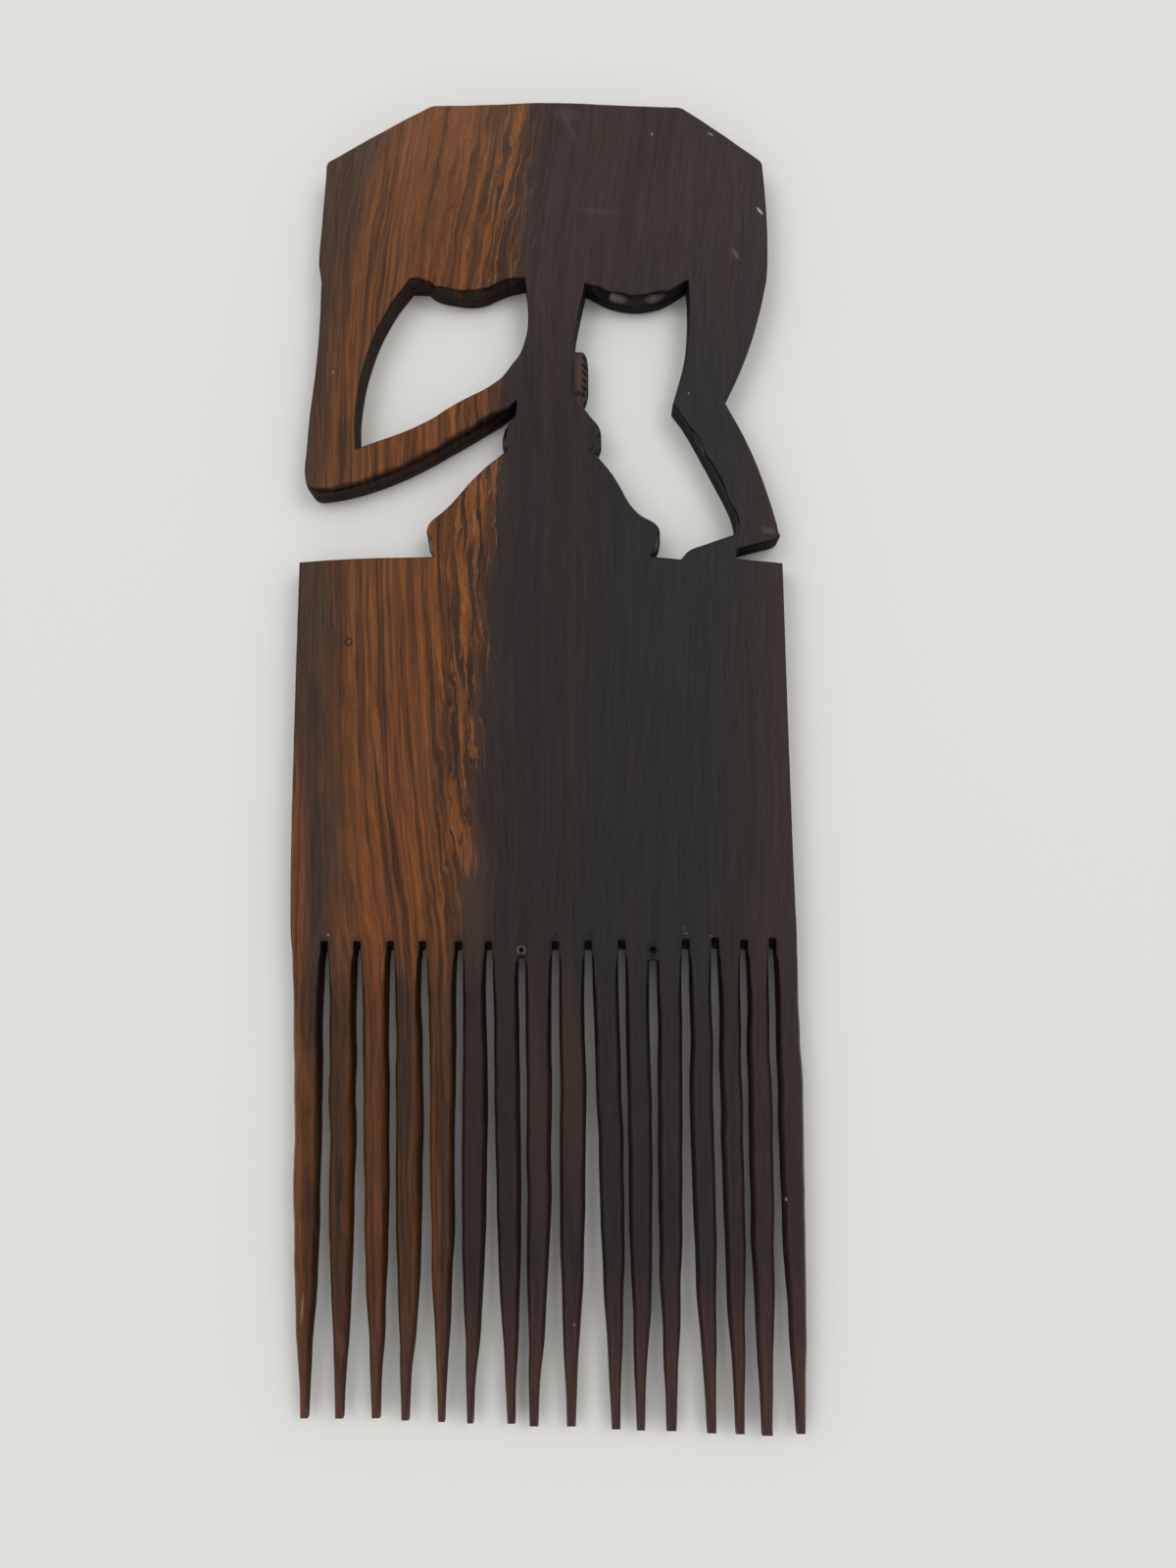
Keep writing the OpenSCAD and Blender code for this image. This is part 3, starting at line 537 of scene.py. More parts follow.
# the wood's figure, as it runs over the whole board: heights are measured up the comb from its middle
hardwood = {
    # height in mm, and how far across from the middle the dark heart begins there
    "heartEdge": [(-111, -13.6), (-40, -13.6), (-29, -13.8), (-21, -10.8), (2, -11.0), (21, -9.8), (30, -9.0),
                  (40, -9.0), (58, -8.0), (74, -5.5), (86, -4.0), (104, -3.4)],
    # height, and how far the weathered left side reaches there
    "outerEdge": [(-111, -50), (-62, -48), (-50, -36), (-37, -33.8), (-14, -33.8), (0, -35.0), (26, -34.8),
                  (34, -39), (50, -37.6), (66, -36.4), (80, -34.9), (94, -32.0), (104, -28)],
    # height, and how far from the middle that side starts there, with light wood left of it
    "outerStart": [(-111, -38.4), (-60, -38.4), (-37, -39.0), (-14, -40.0), (2, -41.4), (26, -46), (111, -46)],
    # height, and how far the streaks have drifted to the right there
    "lean": [(-111, 7.0), (-75, 6.4), (-37, 5.4), (-27, 4.3), (-14, 2.7), (-1, 1.2), (12, 0.0), (25, -0.7), (38, -1.0),
             (60, -1.0), (75, -0.4), (85, 0.8), (94, 2.4), (104, 4.2), (111, 5.4)],
    # height, and how ragged the edge of the heart is there
    "ragged": [(-60, 0.1), (-34, 0.3), (-18, 0.9), (-6, 1), (46, 1), (58, 0.4), (72, 0.8), (108, 1)],
    # distance from the edge of the heart in mm, up to 20, and how ragged the wood is there; farther out in the crown
    "nearHeart": [(-10.5, 0), (-7.5, 0.5), (-5, 1), (1, 1), (4, 0.15)],
    "fartherOut": [(-19, 0), (-14, 0.75), (-5, 1), (1, 1), (4, 0.15)],
    # distance from the edge of the heart in mm, and the wood's colour there
    "across": [(-32, "#6A3E1C"), (-20, "#6D401A"), (-13, "#6B3B19"), (-8, "#78451B"), (-4, "#70411B"),
               (-1.6, "#56341C"), (0.3, "#2B211D"), (4, "#251E1D"), (11, "#241D1D"), (16, "#271E1D"),
               (20, "#211E1F"), (38, "#232122"), (44, "#29221F"), (50, "#302623")],
    # the strongest dark veins: place across at a height of 12 mm, half width in mm, and how dark
    "veins": [(-38.2, 0.5, 0.5), (-34.4, 0.7, 0.5), (-30.9, 0.4, 0.5), (-29.6, 0.35, 0.65), (-27.8, 0.4, 0.95),
              (-22.3, 0.7, 0.75), (-19.6, 0.4, 0.3), (-17.0, 0.55, 0.9), (-15.6, 0.4, 0.7), (-12.6, 0.6, 0.6)],
    "veinField": (-42, -8),
    # the noises: turns per mm across, along and through the board, where they start, detail and roughness;
    # the fibres are as fine as the picture can show, and real ones are about 0.1 mm wide
    "patterns": {
        "drift": ((0.05, 0.022, 0.05), (3.1, 0.4, 0), 1, 0.5), "waver": ((0.4, 0.085, 0.15), (0, 0, 0), 2, 0.5),
        "jag": ((0.5, 0.13, 0.3), (0.7, 0.2, 0), 3, 0.6), "chip": ((0.6, 0.6, 0.35), (0, 0, 0), 1, 0.5),
        "streak": ((0.8, 0.014, 0.2), (0.3, 1.1, 0), 4, 0.68), "fade": ((0.3, 0.03, 0.1), (7, 2, 0), 1, 0.5),
        "fleck": ((1.25, 0.05, 0.2), (1.7, 5.3, 0), 3, 0.6), "red": ((0.3, 0.005, 0.2), (2.2, 0, 0), 5, 0.7),
        "fibre": ((2.1, 0.11, 1), (0, 0, 0), 3, 0.7),
    },
    # place across, and how far handling has darkened the tooth there
    "toothTone": [(-40, 0.1), (-36.5, 0.55), (-33, 0.75), (-30.5, 0.55), (-27.5, 0.25), (-25, 0.55), (-22, 0.75),
                  (-19.5, 0.6), (-17, 0.3), (-14, 0.6), (-11, 0.3), (0, 0.1), (9, 0.3), (42, 0.2)],
    # place across, and how much of the reddish bands is left there below the crown
    "redAcross": [(4, 1), (8, 0.25), (33, 0.25), (35, 1)],
    "handled": "#2A1D16", "tip": "#4C3129", "darkLine": "#24160F", "outer": "#33261F", "fleck": "#80491B",
    # the last two colours: a painted sheen on the crown's light wood, and the walls' darkening, partly burnished end
    # grain and partly painted shade
    "redStreak": "#3B2720", "crownBrown": "#40302A", "crownPale": "#8C6A50", "burnishedAndShade": "#0B0908",
    # how far the surface faces up or down, and its roughness there; the last is the flat faces'
    "gloss": [(0, 0.75), (0.25, 0.6), (0.36, 0.2), (0.8, 0.2), (0.93, 0.36), (0.98, 0.46)],
    "specular": 0.18,
    "knucklesAt": (5.8, 61, 2.75), "knucklesSize": (1.5, 5.4, 6),
    "ribSlant": 0.85, "ribPhase": 64.97, "ribHalf": 0.65,  # the painted shade in the slanted grooves
}
# small marks: place across and up, half length, half width, turn from upright in degrees,
# colour, strength, hollow share
marks = [
    (-32.8, 15.9, 0.95, 0.85, 0, "#170E0A", 0.75, 0.62),  # pin knot
    (5.9, 61.6, 5.4, 1.3, 0, "#4B372D", 0.75, 0), (5.9, 57.3, 1.1, 0.7, 0, "#4A322A", 0.7, 0),  # the worn knuckles
    # painted shade in the cut behind the knuckles and in the recess under them
    (4.35, 61.2, 3.8, 0.3, -3, "#0C0807", 0.9, 0), (5.5, 58.5, 0.7, 1.3, 0, "#0A0706", 1, 0),
    # painted highlights: glints on the knife-cut facets under the two scallops
    (12.1, 75.6, 0.75, 2.5, -10, "#A5A39D", 0.66, 0), (18.3, 75.6, 0.75, 2.2, 12, "#A5A39D", 0.62, 0),
    (-12.3, 76.0, 0.4, 1.8, -6, "#7A7672", 0.35, 0),
    (-3.76, -34.9, 0.76, 0.72, 0, "#8E7F72", 0.7, 0.8),  # rim of the pit at the seventh slot
    # nicks and scuffs
    (36.4, 90.7, 1.0, 0.28, 38, "#B5B2AE", 0.8, 0), (28.1, 104.7, 0.8, 0.2, 58, "#8F8C89", 0.7, 0),
    (18.0, 104.8, 0.32, 0.25, 0, "#9A9794", 0.6, 0), (8.6, 90.9, 5.2, 0.5, 84, "#6A5E58", 0.12, 0),
    (4.0, 105.7, 3.4, 0.7, 22, "#6A5E58", 0.12, 0), (3.2, 108.6, 3.0, 1.5, 80, "#5E5049", 0.22, 0),
    (32.2, 83.0, 1.5, 0.5, 30, "#77706B", 0.3, 0), (24.0, 58.4, 0.3, 0.22, 0, "#8A8682", 0.5, 0),
    (-36.4, 62.4, 0.4, 0.15, 10, "#A39A90", 0.6, 0), (-11.9, 37.4, 4.2, 0.16, -4, "#7C6A63", 0.5, 0),
    (25.0, 49.1, 1.0, 0.35, 35, "#8A8176", 0.6, 0), (37.2, 34.6, 1.8, 0.8, 80, "#5C5552", 0.35, 0),
    (-35.2, -32.5, 0.3, 0.2, 0, "#A59A90", 0.6, 0), (1.8, -32.3, 0.35, 0.3, 0, "#0B0908", 0.8, 0),
    (7.7, -32.2, 1.0, 0.16, -38, "#070606", 0.8, 0), (22.6, -31.3, 0.6, 0.45, 20, "#4E3028", 0.7, 0),
    (36.5, -32.1, 0.4, 0.3, 0, "#4A2F27", 0.7, 0), (22.9, -32.2, 0.6, 0.14, 80, "#6E6A68", 0.5, 0),
    (27.0, -32.6, 0.5, 0.14, 80, "#6E6A68", 0.5, 0), (4.9, -93.7, 0.32, 0.28, 0, "#8A6A4E", 0.8, 0),
    (38.6, -74.2, 0.35, 0.28, 0, "#A39C94", 0.7, 0), (-38.3, -91.5, 3.2, 0.3, -4, "#8F857C", 0.4, 0),
    (-11.5, -27, 16, 3.4, 0, "#4E3A2E", 0.32, 0),  # browner heartwood above the sixth tooth
    (4.4, -56, 26, 2.3, 2, "#56412B", 0.2, 0), (-1.0, -62, 32, 1.8, 2, "#56412B", 0.18, 0),  # two browner teeth
    (-3.8, -35.9, 0.8, 0.62, 0, "#0A0807", 0.95, 0),  # painted shade in the cut that joins a pit to its slot
    # painted shade in the pit at the eleventh slot and in the cut below it, and a painted glint on the pit's floor
    (17.6, -34.9, 1.15, 1.05, 0, "#0B0908", 0.8, 0), (17.6, -36.0, 0.9, 0.65, 0, "#0A0807", 0.9, 0),
    (17.75, -34.5, 0.42, 0.16, 35, "#8E8A88", 0.75, 0),
]
marks += [(slotX[k], comb["roots"] + 2.4, 2.6, 1.5, 0, "#15100D", 0.5, 0) for k in range(15)]  # painted shade around the upper end of each slot


def toLinear(hexColour):
    out = []
    for k in (1, 3, 5):
        c = int(hexColour[k:k + 2], 16) / 255
        out.append(c / 12.92 if c <= 0.04045 else ((c + 0.055) / 1.055) ** 2.4)
    return out + [1]


def addNode(tree, kind, links, give=0, stops=None, **settings):
    node = tree.nodes.new("ShaderNode" + kind)
    for key, value in settings.items():
        setattr(node, key, value)
    for key, value in links.items():
        if isinstance(value, bpy.types.NodeSocket):
            tree.links.new(value, node.inputs[key])
        else:
            node.inputs[key].default_value = value
    if stops:
        ramp = node.color_ramp
        while len(ramp.elements) < len(stops):
            ramp.elements.new(1)
        for element, (place, colour) in zip(ramp.elements, stops):
            element.position = place
            element.color = toLinear(colour) if isinstance(colour, str) else (colour, colour, colour, 1)
    return node.outputs if give is None else node.outputs[give]


def onScale(table, low, high, bottom=None, top=None):  # a table in mm as stops from 0 to 1
    return [((place - low) / (high - low), value if bottom is None else (value - bottom) / (top - bottom))
            for place, value in table]


# two-tone rosewood-like heartwood, carved, sanded and waxed: streaks along the comb, a satin gloss,
# and darker, glossier edges: burnished end grain, with painted shade on the steep walls
def waxedHardwood():
    material = bpy.data.materials.new("waxedTwoToneHardwood")
    material.use_nodes = True
    tree = material.node_tree
    add = partial(addNode, tree)
    shader = tree.nodes["Principled BSDF"]
    coords = add("TexCoord", {}, give=None)
    place = add("Mapping", {"Vector": coords["Object"], "Scale": (1 / mm, 1 / mm, 1 / mm)})
    x, y, z = add("SeparateXYZ", {"Vector": place}, give=None)
    long, wide = comb["halfLength"], comb["halfWidth"]
    up = add("MapRange", {"Value": y, "From Min": -long, "From Max": long})
    sideways = add("MapRange", {"Value": x, "From Min": -wide, "From Max": wide})

    def layPatterns(names, where):
        for name in names:
            scale, start, detail, roughness = hardwood["patterns"][name]
            at = add("Mapping", {"Vector": where, "Scale": scale, "Location": start})
            yield add("TexNoise", {"Vector": at, "Scale": 1, "Detail": detail, "Roughness": roughness})

    # places that change up the comb, in mm, with the lowest and the highest that their tables may hold
    atHeight = {}
    for name, low, high in (("lean", -2, 8), ("heartEdge", -20, 0), ("outerEdge", -50, -20), ("outerStart", -50, -20)):
        share = add("ValToRGB", {"Fac": up}, stops=onScale(hardwood[name], -long, long, low, high))
        atHeight[name] = add("MapRange", {"Value": share, "To Min": low, "To Max": high})
    toEdge = add("Math", {0: x, 1: atHeight["heartEdge"]}, operation="SUBTRACT")
    intoHeart = add("MapRange", {"Value": toEdge, "From Min": 0, "From Max": 9})

    # where a point lies across the grain, in mm: leaning on the left, straight in the heart, ragged at its edge
    leanHere = add("MapRange", {"Value": x, "From Min": -40, "From Max": -29, "To Min": 0.2, "To Max": 1})
    straightened = add("MapRange", {"Value": y, "From Min": 60, "From Max": 85, "To Min": 1, "To Max": 0.4})
    leanLost = add("Math", {0: intoHeart, 1: straightened}, operation="MULTIPLY")
    leanKept = add("Math", {0: 1, 1: leanLost}, operation="SUBTRACT")
    leanLeft = add("Math", {0: leanHere, 1: leanKept}, operation="MULTIPLY")
    leanAll = add("Math", {0: atHeight["lean"], 1: leanLeft}, operation="MULTIPLY")
    straight = add("Math", {0: x, 1: leanAll}, operation="SUBTRACT")
    drift, waver, jag, chip = layPatterns(("drift", "waver", "jag", "chip"), place)
    driftMm = add("MapRange", {"Value": drift, "To Min": -1.2, "To Max": 1.2})
    waverMm = add("MapRange", {"Value": waver, "To Min": -0.55, "To Max": 0.55})
    waverKept = add("MapRange", {"Value": intoHeart, "To Min": 1, "To Max": 0.3})
    waverHere = add("Math", {0: waverMm, 1: waverKept}, operation="MULTIPLY")
    wander = add("Math", {0: driftMm, 1: waverHere}, operation="ADD")
    toEdgeShare = add("MapRange", {"Value": toEdge, "From Min": -20, "From Max": 20})
    nearHeart = add("ValToRGB", {"Fac": toEdgeShare}, stops=onScale(hardwood["nearHeart"], -20, 20))
    ragged = add("ValToRGB", {"Fac": up}, stops=onScale(hardwood["ragged"], -long, long))
    figured = add("Math", {0: nearHeart, 1: ragged}, operation="MULTIPLY")
    fartherOut = add("ValToRGB", {"Fac": toEdgeShare}, stops=onScale(hardwood["fartherOut"], -20, 20))
    towardCrown = add("MapRange", {"Value": y, "From Min": 58, "From Max": 82, "To Max": 0.9})
    farFigured = add("Math", {0: fartherOut, 1: towardCrown}, operation="MULTIPLY")
    wavy = add("Math", {0: figured, 1: farFigured}, operation="MAXIMUM")
    jagMm = add("MapRange", {"Value": jag, "To Min": -1.7, "To Max": 1.7})
    jagHere = add("Math", {0: jagMm, 1: wavy}, operation="MULTIPLY")
    bent = add("Math", {0: wander, 1: jagHere}, operation="ADD")
    grain = add("Math", {0: straight, 1: bent}, operation="ADD")
    fromHeart = add("Math", {0: toEdge, 1: bent}, operation="ADD")
    along = add("CombineXYZ", {"X": grain, "Y": y, "Z": z})
    streak, fade, fleckNoise, redNoise, fibre = layPatterns(("streak", "fade", "fleck", "red", "fibre"), along)

    # the two tones, and how far a point belongs to the light one and to the dark one
    first, last = hardwood["across"][0][0], hardwood["across"][-1][0]
    across = add("MapRange", {"Value": fromHeart, "From Min": first, "From Max": last})
    colour = add("ValToRGB", {"Fac": across}, stops=onScale(hardwood["across"], first, last))
    light = add("MapRange", {"Value": fromHeart, "From Min": 0.6, "From Max": -2.5}, interpolation_type="SMOOTHSTEP")
    dark = add("Math", {0: 1, 1: light}, operation="SUBTRACT")

    # dark veins, the strongest at their own places and finer ones between them
    first, last = hardwood["veinField"]
    veinShare = add("MapRange", {"Value": grain, "From Min": first, "From Max": last})
    stops = []
    for at, half, strength in hardwood["veins"]:
        stops += [(at - half, 0), (at, strength), (at + half * 1.3, 0)]
    vein = add("ValToRGB", {"Fac": veinShare}, stops=onScale(sorted(stops), first, last))
    veinKept = add("MapRange", {"Value": fade, "From Min": 0.32, "From Max": 0.52, "To Min": 0.35})
    veinHere = add("Math", {0: vein, 1: veinKept}, operation="MULTIPLY")
    streakDark = add("MapRange", {"Value": streak, "From Min": 0.47, "From Max": 0.62})
    streakHere = add("Math", {0: streakDark, 1: 0.75}, operation="MULTIPLY")
    lineAll = add("Math", {0: veinHere, 1: streakHere}, operation="MAXIMUM")

    # ragged orange flecks along the edge of the heart, on darker wood
    fleckDark = add("MapRange", {"Value": fleckNoise, "From Min": 0.53, "From Max": 0.48, "To Max": 0.85})
    fleck = add("MapRange", {"Value": fleckNoise, "From Min": 0.55, "From Max": 0.60, "To Max": 0.75})
    fleckReach = add("MapRange", {"Value": fromHeart, "From Min": 1.2, "From Max": -0.2})

    # the weathered left side
    outerTo = add("Math", {0: x, 1: atHeight["outerEdge"]}, operation="SUBTRACT")
    outerBent = add("Math", {0: streak, 1: 16, 2: outerTo}, operation="MULTIPLY_ADD")
    outerShare = add("MapRange", {"Value": outerBent, "From Min": 10.5, "From Max": 5.5, "To Max": 0.82})
    startTo = add("Math", {0: x, 1: atHeight["outerStart"]}, operation="SUBTRACT")
    started = add("MapRange", {"Value": startTo, "From Min": -0.6, "From Max": 0.9})

    # browner wood in the heart under the crown, a painted sheen that makes the light wood paler and greyer towards the
    # top, and reddish bands all over the heart
    crown = add("MapRange", {"Value": y, "From Min": 50, "From Max": 96}, interpolation_type="SMOOTHSTEP")
    pale = add("MapRange", {"Value": y, "From Min": 78, "From Max": long, "To Max": 0.17})
    red = add("MapRange", {"Value": redNoise, "From Min": 0.5, "From Max": 0.72, "To Max": 0.7})
    redFade = add("MapRange", {"Value": y, "From Min": -32, "From Max": -50, "To Min": 1, "To Max": 0.4})
    redAcross = add("ValToRGB", {"Fac": sideways}, stops=onScale(hardwood["redAcross"], -wide, wide))
    redHere = add("Math", {0: redAcross, 1: crown}, operation="MAXIMUM")

    # handled teeth are darker, each a little different, and worn paler at their tips
    tone = add("ValToRGB", {"Fac": sideways}, stops=onScale(hardwood["toothTone"], -wide, wide))
    toothHere = add("MapRange", {"Value": y, "From Min": -31, "From Max": -45}, interpolation_type="SMOOTHSTEP")
    worn = add("MapRange", {"Value": y, "From Min": -84, "From Max": -103, "To Max": 0.62})

    # each tint with its share and with what thins it
    tints = [("darkLine", lineAll, light), ("darkLine", fleckDark, figured, light),
             ("fleck", fleck, figured, fleckReach), ("outer", outerShare, started),
             ("crownBrown", crown, redNoise, dark), ("crownPale", pale, light),
             ("redStreak", red, redFade, redHere, dark), ("handled", tone, toothHere), ("tip", worn)]
    for tint, share, *others in tints:
        for other in others:
            share = add("Math", {0: share, 1: other}, operation="MULTIPLY")
        colour = add("Mix", {0: share, 6: colour, 7: toLinear(hardwood[tint])}, give=2, data_type="RGBA")

    # fibres and pores, weaker in the heart
    shade = add("MapRange", {"Value": fibre, "From Min": 0.3, "From Max": 0.7, "To Min": 0.55, "To Max": 1.42})
    shadeColour = add("CombineColor", {"Red": shade, "Green": shade, "Blue": shade})
    fibreKept = add("MapRange", {"Value": intoHeart, "To Min": 1, "To Max": 0.7})
    colour = add("Mix", {0: fibreKept, 6: colour, 7: shadeColour}, give=2, data_type="RGBA", blend_type="MULTIPLY")

    # the edges, where the surface turns away from the flat faces, are darkened by a colour that is partly burnished end
    # grain and partly painted shade
    nz = add("SeparateXYZ", {"Vector": coords["Normal"]}, give=2)
    steep = add("Math", {0: nz}, operation="ABSOLUTE")
    wall = add("MapRange", {"Value": steep, "From Min": 0.99, "From Max": 0.7}, interpolation_type="SMOOTHSTEP")
    boardWall = add("Math", {0: wall, 1: 0.85}, operation="MULTIPLY")
    belowRoots = add("MapRange", {"Value": y, "From Min": -40, "From Max": -60})
    wallStart = add("MapRange", {"Value": belowRoots, "To Min": 0.9, "To Max": 0.45})
    wallEnd = add("MapRange", {"Value": belowRoots, "To Min": 0.45, "To Max": 0.1})
    toothWall = add("MapRange", {"Value": steep, "From Min": wallStart, "From Max": wallEnd, "To Max": 0.8})
    onTeeth = add("MapRange", {"Value": y, "From Min": -32.6, "From Max": -34.6})
    knuckles = add("Mapping", {"Vector": place, "Location": hardwood["knucklesAt"],
                               "Scale": hardwood["knucklesSize"]}, vector_type="TEXTURE")
    fromKnuckles = add("VectorMath", {0: knuckles}, give="Value", operation="LENGTH")
    onKnuckles = add("MapRange", {"Value": fromKnuckles, "From Min": 1.15, "From Max": 0.9})
    brownEdge = add("Math", {0: onTeeth, 1: onKnuckles}, operation="MAXIMUM")
    wallMix = add("Mix", {0: brownEdge, 2: boardWall, 3: toothWall}, data_type="FLOAT")
    burnishedAndShade = toLinear(hardwood["burnishedAndShade"])
    colour = add("Mix", {0: wallMix, 6: colour, 7: burnishedAndShade}, give=2, data_type="RGBA")

    for markX, markY, tall, thin, turn, tint, strength, hollow in marks:
        at = add("Mapping", {"Vector": place, "Location": (markX, markY, comb["thick"]),
                             "Scale": (thin, tall, 2.5), "Rotation": (0, 0, math.radians(turn))},
                     vector_type="TEXTURE")
        away = add("VectorMath", {0: at}, give="Value", operation="LENGTH")
        if hollow:
            off = add("Math", {0: away, 1: hollow}, operation="SUBTRACT")
            away = add("Math", {0: off}, operation="ABSOLUTE")
        reach = 0.3 if hollow else 1
        mark = add("MapRange", {"Value": away, "From Min": reach, "From Max": reach * 0.4, "To Max": strength})
        colour = add("Mix", {0: mark, 6: colour, 7: toLinear(tint)}, give=2, data_type="RGBA")

    # painted shade in the slanted grooves of the knuckles
    ribPhase = add("Math", {0: x, 1: hardwood["ribSlant"], 2: y}, operation="MULTIPLY_ADD")
    ribAt = add("Math", {0: ribPhase, 1: hardwood["ribPhase"]}, operation="SUBTRACT")
    ribTurn = add("Math", {0: ribAt, 1: hardwood["ribHalf"]}, operation="PINGPONG")
    ribDark = add("MapRange", {"Value": ribTurn, "From Min": 0.32, "From Max": 0.08})
    outerHalf = add("MapRange", {"Value": x, "From Min": 5.6, "From Max": 6.1})
    ribHere = add("Math", {0: ribDark, 1: outerHalf}, operation="MULTIPLY")
    ribMix = add("Math", {0: ribHere, 1: onKnuckles}, operation="MULTIPLY")
    grooveShade = toLinear(hardwood["darkLine"])
    colour = add("Mix", {0: ribMix, 6: colour, 7: grooveShade}, give=2, data_type="RGBA")
    tree.links.new(colour, shader.inputs["Base Color"])

    # satin on the flats, glossier on the rounded edges, dull on the sawn and cut walls
    turned = add("ValToRGB", {"Fac": steep}, stops=hardwood["gloss"])
    gloss = add("Math", {0: streak, 1: 0.12, 2: turned}, operation="MULTIPLY_ADD")
    tree.links.new(gloss, shader.inputs["Roughness"])
    shader.inputs["Specular IOR Level"].default_value = hardwood["specular"]
    chipMix = add("Math", {0: chip, 1: wall}, operation="MULTIPLY")
    height = add("Math", {0: chipMix, 1: 3.0, 2: fibre}, operation="MULTIPLY_ADD")
    bump = add("Bump", {"Height": height, "Strength": 0.25, "Distance": 0.0001})
    tree.links.new(bump, shader.inputs["Normal"])
    return material


wood = waxedHardwood()


# split into the carved regions, which meet on flat cuts
def layAgain(part, face):  # the same face from its first corner on, so that every run divides it alike
    ring = list(face.verts)
    start = ring.index(min(ring, key=lambda v: v.index))
    ring = ring[start:] + ring[:start]
    if ring[1].index > ring[-1].index:
        ring = ring[:1] + ring[:0:-1]
    part.faces.remove(face)
    return part.faces.new(ring)


def cutCorners(cap):  # the pairs of corners, top and back, where a cut between two regions turns
    ring, face = list(cap.verts), comb["thick"] * mm - hair
    starts = [i for i in range(len(ring)) if ring[i].co.z > face and ring[i - 1].co.z <= face]
    if len(starts) != 1:
        return []
    ring = ring[starts[0]:] + ring[:starts[0]]
    uppers = [v for v in ring if v.co.z > face]
    lowers = [v for v in ring if v.co.z < hair][::-1]
    return list(zip(uppers, lowers))[1:-1]


for index, name in enumerate(regionNames):
    part = board.copy()
    bmesh.ops.delete(part, geom=[f for f in part.faces if f.material_index != index], context="FACES")
    rim = [e for e in part.edges if len(e.link_faces) == 1]
    filled = bmesh.ops.holes_fill(part, edges=rim, sides=0)["faces"]
    part.verts.index_update()
    caps = [layAgain(part, face) for face in sorted(filled, key=rankOf)]
    for cap in list(caps):
        for upper, lower in cutCorners(cap):
            face = next(f for f in upper.link_faces if f in caps and lower in f.verts)
            caps.append(bmesh.utils.face_split(face, upper, lower)[0])
    for face in part.faces:
        face.smooth = True
        face.material_index = 0
    for face in caps:
        face.smooth = False
        for edge in face.edges:
            edge.smooth = False
    bmesh.ops.recalc_face_normals(part, faces=part.faces[:])
    mesh = bpy.data.meshes.new(name)
    part.to_mesh(mesh)
    piece = bpy.data.objects.new("carved_" + name, mesh)
    bpy.context.scene.collection.objects.link(piece)
    mesh.materials.append(wood)
    even = piece.modifiers.new("evenShading", "WEIGHTED_NORMAL")
    even.keep_sharp = True
    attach(piece, "root")
    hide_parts(name)
    openEdges = sum(len(e.link_faces) != 2 for e in part.edges)
    if openEdges:
        print("open edges left in", name, openEdges)
    part.free()
board.free()
print("carved", len(regionNames), "pieces")

# floor, light and camera
paperTable = {"reach": 3, "below": 0.05, "colour": "#E2E1DD", "roughness": 0.9}  # reach in metres, below in mm
floorMesh = bpy.data.meshes.new("table")
flat = bmesh.new()
bmesh.ops.create_grid(flat, x_segments=1, y_segments=1, size=paperTable["reach"])
bmesh.ops.translate(flat, vec=(0, 0, -paperTable["below"] * mm), verts=flat.verts[:])
flat.to_mesh(floorMesh)
flat.free()
table = bpy.data.objects.new("table", floorMesh)
bpy.context.scene.collection.objects.link(table)
paper = bpy.data.materials.new("whiteTable")
paper.use_nodes = True
paperShader = paper.node_tree.nodes["Principled BSDF"]
paperShader.inputs["Base Color"].default_value = toLinear(paperTable["colour"])
paperShader.inputs["Roughness"].default_value = paperTable["roughness"]
floorMesh.materials.append(paper)

scene = bpy.context.scene
scene.view_settings.view_transform = "Standard"
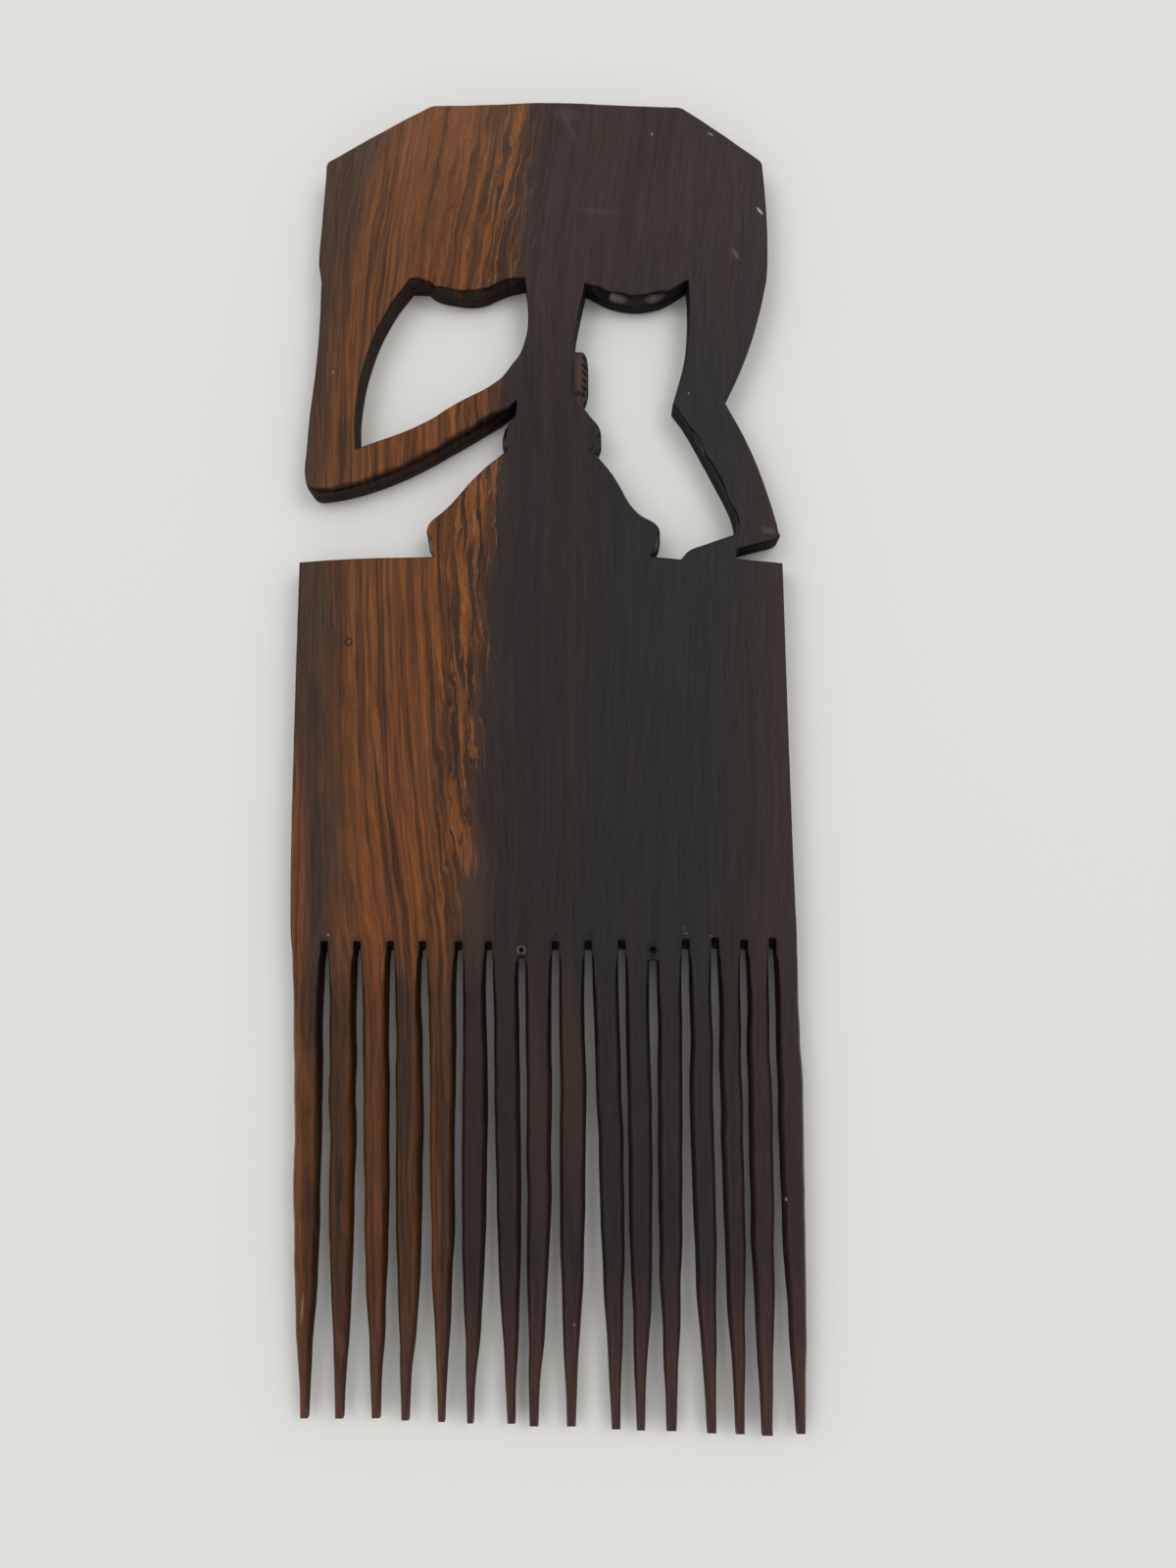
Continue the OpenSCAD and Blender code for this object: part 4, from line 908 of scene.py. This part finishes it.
# a pale room, with a duller band overhead, from the zenith towards -y
room = {"low": 0.38, "high": 1.03, "lowAt": 0.1, "highAt": 0.8, "inBand": 0.28, "bandAt": 0.07,
        "halfWidth": (0.16, 0.46), "reach": (0.12, 0.48)}
world = bpy.data.worlds.new("softRoom")
scene.world = world
world.use_nodes = True
sky = world.node_tree
add = partial(addNode, sky)
toward = add("TexCoord", {}, give=None)["Generated"]
toSide, forward, upward = add("SeparateXYZ", {"Vector": toward}, give=None)
fromBand = add("Math", {0: toSide, 1: room["bandAt"]}, operation="SUBTRACT")
offAxis = add("Math", {0: fromBand}, operation="ABSOLUTE")
full, gone = room["halfWidth"]
inBand = add("MapRange", {"Value": offAxis, "From Min": gone, "From Max": full}, interpolation_type="SMOOTHSTEP")
full, gone = room["reach"]
inReach = add("MapRange", {"Value": forward, "From Min": gone, "From Max": full}, interpolation_type="SMOOTHSTEP")
covered = add("Math", {0: inBand, 1: inReach}, operation="MULTIPLY")
openSky = add("MapRange", {"Value": upward, "From Min": room["lowAt"], "From Max": room["highAt"],
                           "To Min": room["low"], "To Max": room["high"]})
shareLeft = add("MapRange", {"Value": covered, "To Min": 1, "To Max": room["inBand"]})
strength = add("Math", {0: openSky, 1: shareLeft}, operation="MULTIPLY")
sky.links.new(strength, sky.nodes["Background"].inputs["Strength"])
sky.nodes["Background"].inputs["Color"].default_value = (1, 1, 1, 1)

# name: width in metres, watts, place
lamps = {"windowPanel": (0.6, 3.7, (0.6, 0.45, 1.15)), "sidePanel": (0.6, 2.6, (-0.65, 0.35, 1.15)),
         "lowPanel": (0.16, 1.1, (0.1, -1.4, 0.75))}
for name, (width, watts, at) in lamps.items():
    lamp = bpy.data.lights.new(name, "AREA")
    lamp.shape = "SQUARE"
    lamp.size, lamp.energy = width, watts
    lampObject = bpy.data.objects.new(name, lamp)
    scene.collection.objects.link(lampObject)
    lampObject.location = at
    lampObject.rotation_euler = (-lampObject.location).to_track_quat("-Z", "Y").to_euler()

# focal length and height of the picture in pixels, place in mm, and how many pixels off centre straight down is
view = {"focal": 1225, "height": 1600, "sensor": 36, "place": (9.92, -26.29, 201.5), "nadir": (18, -115)}
camera = bpy.data.cameras.new("photographView")
camera.sensor_width = view["sensor"]
camera.lens = view["focal"] / view["height"] * view["sensor"]
camera.clip_start = 0.005
cameraObject = bpy.data.objects.new("photographView", camera)
scene.collection.objects.link(cameraObject)
down = Vector((view["nadir"][0] / view["focal"], view["nadir"][1] / view["focal"], -1)).normalized()
turn = down.rotation_difference(Vector((0, 0, -1))).to_matrix().to_4x4()
cameraObject.matrix_world = Matrix.Translation(Vector(view["place"]) * mm) @ turn
scene.camera = cameraObject
